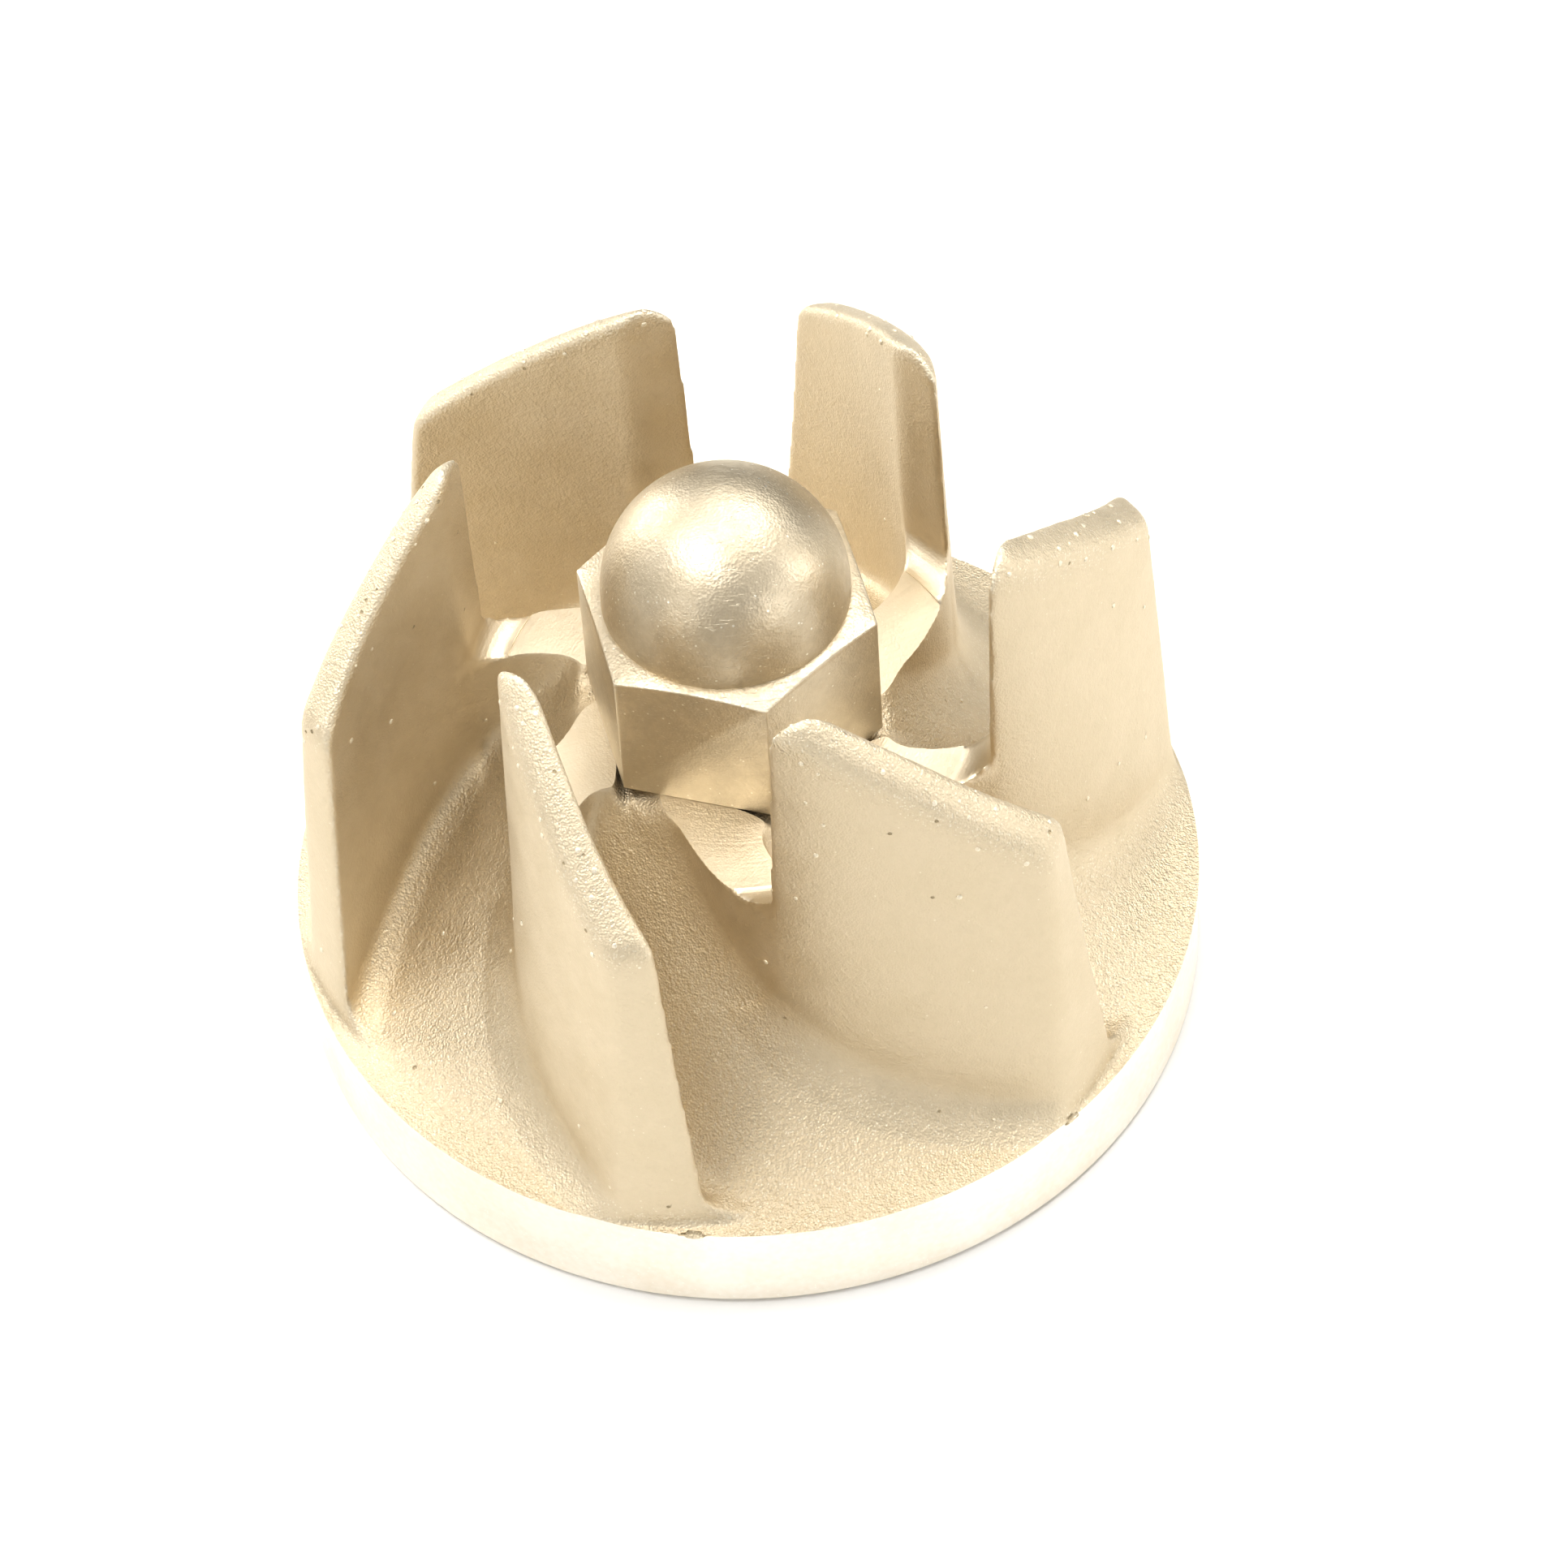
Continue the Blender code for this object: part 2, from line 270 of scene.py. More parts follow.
foot_points = sampled(FOOT_CAMBER)
tip_points = sampled(TIP_CAMBER)
hub_shares = [step / HUB_STEPS for step in range(HUB_STEPS + 1)]
hub_points = [(share, hub_height(RIM_RADIUS * share) / RIM_RADIUS) for share in hub_shares]
print("Hub rises", round(1000 * (hub_height(0.0) - hub_height(RIM_RADIUS)), 1), "mm above the rim")

# %% [markdown]
# ## The middle of a vane
#
# A vane could be lofted face by face in Python. Here Geometry Nodes do it, because the vane obeys rules that a
# tree can state. The first tree says where the middle of the wall lies: a station runs from the eye to the rim, and
# a layer from the foot to the tip. It is a group, because the next tree asks it for many places.

# %% A tree for a point in the middle of a vane
VANE_COUNT = 6
VANE_START = math.radians(101.0)
EYE_RADIUS = 0.0251
OUTER_FOOT_RADIUS = 0.0411
OUTER_TIP_RADIUS = 0.0385
INNER_TIP_RISE = 0.0498
OUTER_TIP_RISE = 0.0360


def float_curve(tree, value, points):
    """A smooth curve through points, as a node."""
    made = add(tree, "ShaderNodeFloatCurve", {"Value": value})
    made.mapping.use_clip = False
    curve = made.mapping.curves[0]
    curve.points[0].location = points[0]
    curve.points[1].location = points[-1]
    for point in points[1:-1]:
        curve.points.new(*point)
    made.mapping.update()
    return made.outputs[0]


def make_middle_tree():
    """Where the middle of a vane lies, for a station and a layer."""
    sizes = [("Station", FLOAT), ("Layer", FLOAT), ("Eye radius", FLOAT), ("Outer foot radius", FLOAT)]
    sizes += [("Outer tip radius", FLOAT), ("Inner tip height", FLOAT), ("Outer tip height", FLOAT)]
    tree, given, result = new_tree("GeometryNodeTree", "Middle of a vane", sizes, [("Point", VECTOR)])
    station, layer, eye = given["Station"], given["Layer"], given["Eye radius"]
    foot_radius = between(tree, eye, given["Outer foot radius"], station)
    tip_radius = between(tree, eye, given["Outer tip radius"], station)
    foot_share = over(tree, foot_radius, RIM_RADIUS)
    tip_share = over(tree, tip_radius, RIM_RADIUS)
    foot_angle = float_curve(tree, foot_share, foot_points)
    tip_angle = float_curve(tree, tip_share, tip_points)
    foot_height = times(tree, float_curve(tree, foot_share, hub_points), RIM_RADIUS)
    outward = maths(tree, "MAXIMUM", station, 0.0)
    tip_height = between(tree, given["Inner tip height"], given["Outer tip height"], outward)
    radius = between(tree, foot_radius, tip_radius, layer)
    swept = between(tree, foot_angle, tip_angle, layer)
    span = math.radians(CAMBER_SPAN)
    angle = maths(tree, "MULTIPLY_ADD", swept, span, VANE_START - span / 2)
    made = add(tree, "ShaderNodeCombineXYZ")
    feed(tree, made.inputs["X"], times(tree, radius, maths(tree, "COSINE", angle)))
    feed(tree, made.inputs["Y"], times(tree, radius, maths(tree, "SINE", angle)))
    feed(tree, made.inputs["Z"], between(tree, foot_height, tip_height, layer))
    feed(tree, result["Point"], made.outputs[0])
    return tree


middle_tree = make_middle_tree()
print("Middle of a vane:", len(middle_tree.nodes), "nodes")

# %% [markdown]
# ## The wall round that middle
#
# The second tree starts from a cube with many rows. Along its length a row of points becomes a station, up its
# height a layer, and across it the two faces. The foot swells into the fillet that molten metal needs and ends in
# a faint crease, as wax fillets do. The two faces end at different stations, because the ends are cut skew, and
# one more node sets six copies round the axis. Lower and thinner walls from the same tree make the roots, which
# run in under the nut and carry it.

# %% Helpers for the trees of modifiers
def modifier_tree(name, sizes):
    """A tree for a modifier: geometry, its named sizes and a material go in, and geometry comes out."""
    kinds = [(label, INTEGER if isinstance(value, int) else FLOAT, value) for label, value in sizes.items()]
    inputs = [("Geometry", GEOMETRY), *kinds, ("Material", MATERIAL)]
    return new_tree("GeometryNodeTree", name, inputs, [("Geometry", GEOMETRY)])


def end_tree(tree, given, result, last):
    """Make copies into real faces, and give them the material."""
    real = add(tree, "GeometryNodeRealizeInstances", {"Geometry": last.outputs[0]})
    named = add(tree, "GeometryNodeSetMaterial", {"Geometry": real.outputs[0], "Material": given["Material"]})
    feed(tree, result["Geometry"], named.outputs[0])
    return tree


def parts_of_place(tree):
    """X, Y and Z of the point that the tree works on."""
    place = add(tree, "GeometryNodeInputPosition").outputs[0]
    return add(tree, "ShaderNodeSeparateXYZ", {"Vector": place}).outputs


def from_axis(tree, x, y):
    """How far a point is from the axis."""
    return maths(tree, "SQRT", plus(tree, times(tree, x, x), times(tree, y, y)))


print("Helpers ready for modifiers' trees")

# %% A tree for the ring of vanes
ROWS = {"Vertices X": 110, "Vertices Y": 13, "Vertices Z": 130}
FOOT_SINK_SHARE = 0.05
NUDGE = 0.02
TIP_ALLOWANCE = 0.0004


def corner_drop(tree, distance, radius):
    """How far a rounded corner lies below a square one, at a distance from its end."""
    short = maths(tree, "MAXIMUM", minus(tree, radius, distance), 0.0)
    rest = minus(tree, times(tree, radius, radius), times(tree, short, short))
    return minus(tree, radius, maths(tree, "SQRT", maths(tree, "MAXIMUM", rest, 0.0)))


def make_vane_tree():
    tree, given, result = modifier_tree("Ring of vanes", {
        "Eye radius": EYE_RADIUS,
        "Outer foot radius": OUTER_FOOT_RADIUS,
        "Outer tip radius": OUTER_TIP_RADIUS,
        "Inner tip height": RIM_HEIGHT + INNER_TIP_RISE + TIP_ALLOWANCE,
        "Outer tip height": RIM_HEIGHT + OUTER_TIP_RISE,
        "First station": -0.045,
        "Last station": 1.0,
        "Top share": 1.0,
        "Inner foot thickness": 0.0048,
        "Outer foot thickness": 0.0058,
        "Inner tip thickness": 0.0032,
        "Outer tip thickness": 0.0040,
        "Foot fillet": 0.0042,
        "Fillet reach": 0.0029,
        "Tip fall": 0.0019,
        "Tip rounding": 0.0014,
        "End rounding": 0.0010,
        "Inner corner": 0.0011,
        "Outer corner": 0.0016,
        "Eye skew at foot": math.radians(44.0),
        "Eye skew at tip": math.radians(56.0),
        "Outer skew at foot": math.radians(48.0),
        "Outer skew at tip": math.radians(34.0),
    })
    cube = add(tree, "GeometryNodeMeshCube", ROWS)
    place = parts_of_place(tree)
    share = plus(tree, place["X"], 0.5)
    side = maths(tree, "SINE", times(tree, place["Y"], -math.pi))
    layer = maths(tree, "MULTIPLY_ADD", place["Z"], 1.0 + FOOT_SINK_SHARE, (1.0 - FOOT_SINK_SHARE) / 2)
    layer = times(tree, layer, given["Top share"])
    raised = maths(tree, "MAXIMUM", layer, 0.0)

    def middle(at_station, at_layer):
        names = ("Eye radius", "Outer foot radius", "Outer tip radius", "Inner tip height", "Outer tip height")
        sizes = {name.replace(" ", "_"): given[name] for name in names}
        return group(tree, middle_tree, Station=at_station, Layer=at_layer, **sizes)["Point"]

    # The two faces: half the wall's thickness, with the fillet's flare at the foot
    station = between(tree, given["First station"], given["Last station"], share)
    tip_thickness = between(tree, given["Inner tip thickness"], given["Outer tip thickness"], station)
    foot_thickness = between(tree, given["Inner foot thickness"], given["Outer foot thickness"], station)
    thickness = between(tree, foot_thickness, tip_thickness, raised)
    foot = add(tree, "ShaderNodeSeparateXYZ", {"Vector": middle(station, 0.0)}).outputs["Z"]
    rise = times(tree, minus(tree, given["Inner tip height"], foot), raised)
    flare = maths(tree, "MINIMUM", corner_drop(tree, rise, given["Foot fillet"]), given["Fillet reach"])
    half = maths(tree, "MULTIPLY_ADD", thickness, 0.5, flare)
    inset = times(tree, minus(tree, 1.0, maths(tree, "ABSOLUTE", side)), half)

    # The two ends: rounded, and skew to the wall
    run = vectors(tree, "SUBTRACT", middle(plus(tree, station, NUDGE), layer), middle(station, layer))
    run = over(tree, vectors(tree, "LENGTH", run), NUDGE)
    trim = over(tree, corner_drop(tree, inset, given["End rounding"]), run)
    trim = times(tree, trim, between(tree, 1.0, -1.0, share))
    eye_skew = between(tree, given["Eye skew at foot"], given["Eye skew at tip"], raised)
    outer_skew = between(tree, given["Outer skew at foot"], given["Outer skew at tip"], raised)
    outward = add(tree, "ShaderNodeClamp", {"Value": station}).outputs[0]
    skew = between(tree, eye_skew, outer_skew, outward)
    shift = over(tree, times(tree, half, maths(tree, "TANGENT", skew)), run)
    shift = maths(tree, "MULTIPLY_ADD", shift, side, times(tree, trim, -1.0))
    moved = minus(tree, station, shift)

    # Out from the middle of the wall to its face
    here = middle(moved, layer)
    along = vectors(tree, "SUBTRACT", middle(plus(tree, moved, NUDGE), layer), here)
    upward = vectors(tree, "SUBTRACT", middle(moved, plus(tree, layer, NUDGE)), here)
    normal = vectors(tree, "NORMALIZE", vectors(tree, "CROSS_PRODUCT", along, upward))
    offset = scaled(tree, normal, times(tree, half, side))
    point = add(tree, "ShaderNodeSeparateXYZ", {"Vector": vectors(tree, "ADD", here, offset)})

    # Height: from the hub under this point to the tip, which is rounded and falls to one side
    x, y = point.outputs["X"], point.outputs["Y"]
    floor = float_curve(tree, over(tree, from_axis(tree, x, y), RIM_RADIUS), hub_points)
    floor = times(tree, floor, RIM_RADIUS)
    inner_reach = times(tree, minus(tree, station, given["First station"]), run)
    outer_reach = times(tree, minus(tree, given["Last station"], station), run)
    drop = corner_drop(tree, inner_reach, given["Inner corner"])
    drop = plus(tree, drop, corner_drop(tree, outer_reach, given["Outer corner"]))
    drop = plus(tree, drop, corner_drop(tree, inset, given["Tip rounding"]))
    drop = maths(tree, "MULTIPLY_ADD", times(tree, side, 0.5), given["Tip fall"], drop)
    outward = maths(tree, "MAXIMUM", moved, 0.0)
    top = between(tree, given["Inner tip height"], given["Outer tip height"], outward)
    top = minus(tree, top, drop)
    spot = add(tree, "ShaderNodeCombineXYZ", {"X": x, "Y": y, "Z": between(tree, floor, top, layer)})
    shaped = add(tree, "GeometryNodeSetPosition", {"Geometry": cube.outputs[0], "Position": spot.outputs[0]})

    # Six copies round the axis
    seeds = add(tree, "GeometryNodeMeshLine", {"Count": VANE_COUNT, "Offset": (0.0, 0.0, 0.0)})
    order = add(tree, "GeometryNodeInputIndex").outputs[0]
    turn = add(tree, "ShaderNodeCombineXYZ", {"Z": times(tree, order, -2 * math.pi / VANE_COUNT)})
    copies = {"Points": seeds.outputs[0], "Instance": shaped.outputs[0], "Rotation": turn.outputs[0]}
    return end_tree(tree, given, result, add(tree, "GeometryNodeInstanceOnPoints", copies))


def settle(piece):
    """Make an object's modifiers part of its mesh."""
    graph = bpy.context.evaluated_depsgraph_get()
    mesh = bpy.data.meshes.new_from_object(piece.evaluated_get(graph), depsgraph=graph)
    piece.modifiers.clear()
    piece.data = mesh
    return piece


def run_tree(piece, tree, **inputs):
    """Run a tree on a piece. Its inputs are set by their identifiers before it first runs."""
    modifier = piece.modifiers.new(tree.name, "NODES")
    modifier.node_group = tree
    for socket in tree.interface.items_tree:
        key = socket.name.replace(" ", "_")
        if socket.in_out == "INPUT" and key in inputs:
            modifier[socket.identifier] = inputs[key]
    return settle(piece)


def new_piece(name, mesh=None):
    """An object in the scene, with a mesh or without faces."""
    piece = bpy.data.objects.new(name, mesh or bpy.data.meshes.new(name))
    bpy.context.scene.collection.objects.link(piece)
    return piece


cast_steel = bpy.data.materials.new("cast_steel")
turned_steel = bpy.data.materials.new("turned_steel")
nut_steel = bpy.data.materials.new("nut_steel")
vane_tree = make_vane_tree()
walls = run_tree(new_piece("walls"), vane_tree, Material=cast_steel)
root_sizes = {
    "First_station": -0.88,
    "Last_station": 0.35,
    "Top_share": 0.46,
    "Inner_foot_thickness": 0.0043,
    "Outer_foot_thickness": 0.0006,
    "Foot_fillet": 0.0034,
    "Fillet_reach": 0.0034,
}
roots = run_tree(new_piece("roots"), vane_tree, Material=cast_steel, **root_sizes)
print("Ring of vanes:", len(walls.data.polygons), "faces, and their roots", len(roots.data.polygons))

# %% [markdown]
# ## Turned forms
#
# A lathe makes round things from one outline, and Blender's Screw modifier does the same. It makes the hub, and
# also the shapes that cut it: the eye round the nut, the outside of the rim, and the bore.

# %% Turn the hub
FINE_STEPS = 240
EYE_FILLET = 0.0036
BORE_RADIUS = 0.008
KEYWAY_WIDTH = 0.005
KEYWAY_DEPTH = 0.0023
OVERRUN = 0.002
MERGE_DISTANCE = 0.00001
OUTLINE_STEPS = 60


def arc(centre_radius, centre_height, radius, start, end, steps=12):
    """Points of an arc in an outline, its angles in degrees from the outward direction."""
    points = []
    for step in range(steps + 1):
        angle = math.radians(start + (end - start) * step / steps)
        points.append((centre_radius + radius * math.cos(angle), centre_height + radius * math.sin(angle)))
    return points


def turned(name, outline, steps=FINE_STEPS):
    """Turn an outline about Z. At +X it runs down its outer side."""
    mesh = bpy.data.meshes.new(name)
    edges = [(index, index + 1) for index in range(len(outline) - 1)]
    mesh.from_pydata([(radius, 0.0, height) for radius, height in outline], edges, [])
    piece = new_piece(name, mesh)
    screw = piece.modifiers.new("Turn", "SCREW")
    screw.steps = steps
    screw.render_steps = steps
    screw.use_merge_vertices = True
    screw.merge_threshold = MERGE_DISTANCE
    return settle(piece)


seat_height = RIM_HEIGHT + SEAT_RISE
tip_height = RIM_HEIGHT + INNER_TIP_RISE
wide = RIM_RADIUS + OVERRUN
hub_start = HUB_OUTLINE[0][0]
hub_outline = [(0.0, hub_height(0.0))]
for step in range(OUTLINE_STEPS + 1):
    radius = hub_start + (RIM_RADIUS - hub_start) * step / OUTLINE_STEPS
    hub_outline.append((radius, hub_height(radius)))
hub_outline += [(wide, RIM_HEIGHT), (wide, -OVERRUN), (0.0, -OVERRUN)]
hub = turned("hub", hub_outline)
print("Hub:", len(hub.data.polygons), "faces")

# %% [markdown]
# ## One casting
#
# In the foundry, hub and vanes are one pour, so no line runs between them. Booleans would join the shells but
# leave hard seams. Voxel remeshing melts them into a single skin instead, and a few rounds of smoothing round
# every inner corner a little, as a shell mould does. Hub and roots are melted first and turned out to the eye,
# and only then do the walls join them, so that their inner ends stay whole. The seat gets some spare metal, to be
# turned off later.

# %% Melt hub and vanes together
VOXEL = 0.00032
SEAT_ALLOWANCE = 0.00036
SOFTENING = 9


def joined(piece, *others):
    """Move the meshes of other objects into one."""
    shape = bmesh.new()
    shape.from_mesh(piece.data)
    for other in others:
        shape.from_mesh(other.data)
        bpy.data.objects.remove(other)
    shape.to_mesh(piece.data)
    shape.free()
    return piece


def cut(piece, cutter, operation="DIFFERENCE"):
    """Cut one closed mesh with another, and throw the cutter away."""
    modifier = piece.modifiers.new("Cut", "BOOLEAN")
    modifier.operation = operation
    modifier.solver = "MANIFOLD"
    modifier.object = cutter
    settle(piece)
    bpy.data.objects.remove(cutter)
    return piece


def melt(piece, size):
    """Make overlapping shells into one skin."""
    remesh = piece.modifiers.new("Melt", "REMESH")
    remesh.mode = "VOXEL"
    remesh.voxel_size = size
    remesh.use_smooth_shade = True
    return settle(piece)


def soften(piece, rounds):
    """Move each point towards the middle of its neighbours, again and again."""
    smooth = piece.modifiers.new("Soften", "SMOOTH")
    smooth.iterations = rounds
    smooth.factor = 0.5
    return settle(piece)


seat_reach = EYE_RADIUS - EYE_FILLET
above = tip_height + 2 * OVERRUN
eye = [(0.0, above), (EYE_RADIUS, above)]
eye += arc(seat_reach, seat_height + EYE_FILLET, EYE_FILLET, 0, -90)
eye += [(seat_reach - SEAT_ALLOWANCE, seat_height + SEAT_ALLOWANCE), (0.0, seat_height + SEAT_ALLOWANCE)]
wheel = new_piece("impeller_wheel")
joined(wheel, hub, roots)
melt(wheel, VOXEL)
cut(wheel, turned("eye", eye))
joined(wheel, walls)
melt(wheel, VOXEL)
soften(wheel, SOFTENING)
print("Casting:", len(wheel.data.polygons), "faces")

# %% [markdown]
# ## Skin of the casting
#
# A cast face is never quite flat. Under the blasted grain lie slow waves of a few hundredths of a millimetre and
# a finer unevenness, which the eye reads from the way light slides over the face. A tree moves the skin along its
# own normals by two noises with fixed seeds. The mesh is then thinned, which keeps most of its faces for the
# edges and fillets that need them.

# %% Waves on the cast skin
CASTING_TRIANGLES = 150000


def make_skin_tree():
    sizes = {"Wave height": 0.00012, "Wave length": 0.0070, "Grain height": 0.00005, "Grain length": 0.0014}
    tree, given, result = modifier_tree("Cast skin", {**sizes, "Seed": 3.0})
    position = add(tree, "GeometryNodeInputPosition").outputs[0]
    normal = add(tree, "GeometryNodeInputNormal").outputs[0]

    def bumps(length, detail):
        sizes = {"Vector": position, "W": given["Seed"], "Scale": over(tree, 1.0, length)}
        noise = add(tree, "ShaderNodeTexNoise", {**sizes, "Detail": detail}, noise_dimensions="4D")
        return minus(tree, noise.outputs[0], 0.5)

    waves = times(tree, bumps(given["Wave length"], 1.0), given["Wave height"])
    grain = times(tree, bumps(given["Grain length"], 2.0), given["Grain height"])
    step = scaled(tree, normal, plus(tree, waves, grain))
    moved = add(tree, "GeometryNodeSetPosition", {"Geometry": given["Geometry"], "Offset": step})
    return end_tree(tree, given, result, moved)


def thin(piece, faces):
    """Collapse the least needed edges until about so many triangles are left."""
    piece.data.calc_loop_triangles()
    modifier = piece.modifiers.new("Thin", "DECIMATE")
    modifier.ratio = min(1.0, faces / len(piece.data.loop_triangles))
    return settle(piece)


skin_tree = make_skin_tree()
run_tree(wheel, skin_tree, Material=cast_steel)
thin(wheel, CASTING_TRIANGLES)
print("Thinned casting:", len(wheel.data.polygons), "faces")

# %% [markdown]
# ## Nodules and pits
#
# Where bubbles sat on the wax, the steel has small round nodules, most of them on the rough tips of the vanes,
# and where grit sat in the shell it has pits. Placing hundreds by hand would be dull, so a tree scatters them:
# points on the faces near a tip or on the hub, no two closer than a set distance, and a small flattened ball on
# each. One boolean adds the nodules to the casting, and another takes the pits away.

# %% Scatter nodules and pits
BALL_SEGMENTS = 8
BALL_RINGS = 6


def make_scatter_tree():
    tree, given, result = modifier_tree("Scattered balls", {
        "Inner tip height": RIM_HEIGHT + INNER_TIP_RISE,
        "Outer tip height": RIM_HEIGHT + OUTER_TIP_RISE,
        "Tip band": 0.0019,
        "Per square metre on tips": 90000.0,
        "Per square metre elsewhere": 4200.0,
        "Least distance": 0.0009,
        "Smallest": 0.00014,
        "Largest": 0.00032,
        "Flatness": 0.55,
        "Seed": 5,
    })
    x, y, z = parts_of_place(tree)
    run = minus(tree, from_axis(tree, x, y), EYE_RADIUS)
    run = over(tree, run, OUTER_TIP_RADIUS - EYE_RADIUS)
    tip = between(tree, given["Inner tip height"], given["Outer tip height"], run)
    on_tip = maths(tree, "GREATER_THAN", z, minus(tree, tip, given["Tip band"]))
    few = over(tree, given["Per square metre elsewhere"], given["Per square metre on tips"])
    share = maths(tree, "MAXIMUM", on_tip, few)
    spread = {"Mesh": given["Geometry"], "Distance Min": given["Least distance"], "Density Factor": share}
    spread.update({"Density Max": given["Per square metre on tips"], "Seed": given["Seed"]})
    points = add(tree, "GeometryNodeDistributePointsOnFaces", spread, distribute_method="POISSON")
    ball = add(tree, "GeometryNodeMeshUVSphere", {"Segments": BALL_SEGMENTS, "Rings": BALL_RINGS, "Radius": 1.0})
    size = add(tree, "FunctionNodeRandomValue", {"Seed": given["Seed"]}, data_type="FLOAT")
    feed(tree, size.inputs[2], given["Smallest"])
    feed(tree, size.inputs[3], given["Largest"])
    size = size.outputs[1]
    flat = times(tree, size, given["Flatness"])
    scale = add(tree, "ShaderNodeCombineXYZ", {"X": size, "Y": size, "Z": flat}).outputs[0]
    copies = {"Points": points.outputs["Points"], "Instance": ball.outputs[0]}
    copies.update({"Rotation": points.outputs["Rotation"], "Scale": scale})
    return end_tree(tree, given, result, add(tree, "GeometryNodeInstanceOnPoints", copies))


scatter_tree = make_scatter_tree()
nodules = run_tree(new_piece("nodules", wheel.data.copy()), scatter_tree, Material=cast_steel)
pit_sizes = {
    "Per_square_metre_on_tips": 40000.0,
    "Per_square_metre_elsewhere": 1500.0,
    "Largest": 0.00022,
    "Flatness": 0.6,
    "Seed": 11,
}
pits = run_tree(new_piece("pits", wheel.data.copy()), scatter_tree, Material=cast_steel, **pit_sizes)
ball_faces = BALL_SEGMENTS * BALL_RINGS
print("Nodules:", len(nodules.data.polygons) // ball_faces, "pits:", len(pits.data.polygons) // ball_faces)
cut(wheel, nodules, "UNION")
cut(wheel, pits)
print("Casting with its flaws:", len(wheel.data.polygons), "faces")

# %% [markdown]
# ## Machined faces
#
# The rim, the back, the seat of the nut and the bore are exact, so a lathe and a broach cut them after casting.
# Their edges are crisp, and where a cut meets the uneven skin the line between them wanders a little, as on the
# real pads. Booleans with turned cutters give just that.

# %% Turn the rim, the seat and the bore
RIM_CHAMFER = 0.0006
BORE_CHAMFER = 0.0006
BORE_STEPS = 96


def box_mesh(name, low, high):
    """A box between two corners."""
    mesh = bpy.data.meshes.new(name)
    shape = bmesh.new()
    bmesh.ops.create_cube(shape, size=1.0)
    size = Vector(high) - Vector(low)
    bmesh.ops.scale(shape, verts=shape.verts, vec=size)
    bmesh.ops.translate(shape, verts=shape.verts, vec=(Vector(low) + Vector(high)) / 2)
    shape.to_mesh(mesh)
    shape.free()
    return new_piece(name, mesh)


outside = [(0.0, above), (RIM_RADIUS, above), (RIM_RADIUS, RIM_CHAMFER)]
outside += [(RIM_RADIUS - RIM_CHAMFER, 0.0), (0.0, 0.0)]
cut(wheel, turned("outside", outside, 2 * FINE_STEPS), "INTERSECT")
cut(wheel, turned("seat", [(0.0, above), (seat_reach, above), (seat_reach, seat_height), (0.0, seat_height)]))
bore = [(0.0, seat_height + OVERRUN), (BORE_RADIUS + OVERRUN + BORE_CHAMFER, seat_height + OVERRUN)]
bore += [(BORE_RADIUS, seat_height - BORE_CHAMFER), (BORE_RADIUS, BORE_CHAMFER)]
bore += [(BORE_RADIUS + BORE_CHAMFER + OVERRUN, -OVERRUN), (0.0, -OVERRUN)]
cut(wheel, turned("bore", bore, BORE_STEPS))
keyway_high = (BORE_RADIUS + KEYWAY_DEPTH, KEYWAY_WIDTH / 2, seat_height + OVERRUN)
cut(wheel, box_mesh("keyway", (0.0, -KEYWAY_WIDTH / 2, -OVERRUN), keyway_high))
print("Machined casting:", len(wheel.data.polygons), "faces")

# %% [markdown]
# ## Small damage
#
# This wheel has been knocked about: two nicks in the edge of the rim, and one open flaw in the fillet of a vane.
# Each is a rough ball pushed into the steel. Its place is an angle and a radius on the wheel, so that it stays
# on the surface from every side.

# %% Nicks in the rim and a flaw in a fillet
NICKS = (
    (-99.7, 0.0422, RIM_HEIGHT + 0.0001, (0.0013, 0.0007, 0.0006)),
    (-48.7, 0.0422, RIM_HEIGHT + 0.0001, (0.0010, 0.0006, 0.0006)),
    (-38.4, 0.0387, RIM_HEIGHT + 0.0009, (0.0012, 0.00035, 0.0007)),
)
DENT_ROUGHNESS = 0.12


def dent(name, angle, radius, height, size, seed):
    """A rough ball, longest along the rim."""
    mesh = bpy.data.meshes.new(name)
    shape = bmesh.new()
    bmesh.ops.create_icosphere(shape, subdivisions=3, radius=1.0)
    chance = np.random.default_rng(seed)
    for point in shape.verts:
        point.co *= 1.0 + DENT_ROUGHNESS * float(chance.standard_normal())
    turn = Matrix.Rotation(math.radians(angle), 4, "Z")
    stretch = Matrix.Diagonal((size[1], size[0], size[2], 1.0))
    bmesh.ops.transform(shape, verts=shape.verts, matrix=turn @ Matrix.Translation((radius, 0.0, height)) @ stretch)
    shape.to_mesh(mesh)
    shape.free()
    return new_piece(name, mesh)


for number, (angle, radius, height, size) in enumerate(NICKS):
    cut(wheel, dent("nick", angle, radius, height, size, number))
print("Knocked casting:", len(wheel.data.polygons), "faces")

# %% [markdown]
# ## Points that lie on each other
#
# Where a boolean cuts a long thin face, it can leave two points less than a thousandth of a millimetre apart, and
# between them faces without area. Nobody sees them, but a slicer or a solver does. Merging such points leaves one
# closed skin.

# %% Weld the casting
WELD_DISTANCE = 0.000001


def weld(piece, distance):
    """Merge points that are closer than a distance."""
    shape = bmesh.new()
    shape.from_mesh(piece.data)
    bmesh.ops.remove_doubles(shape, verts=shape.verts, dist=distance)
    shape.to_mesh(piece.data)
    shape.free()
    return piece


weld(wheel, WELD_DISTANCE)
print("Welded casting:", len(wheel.data.polygons), "faces")

# %% [markdown]
# ## Cap nut
#
# A cap nut is turned from hexagon bar: its top is chamfered, its dome is turned, and it is drilled and tapped
# from below. The hexagon is a prism that a cone trims, which gives the curved lines at its corners without
# drawing them.

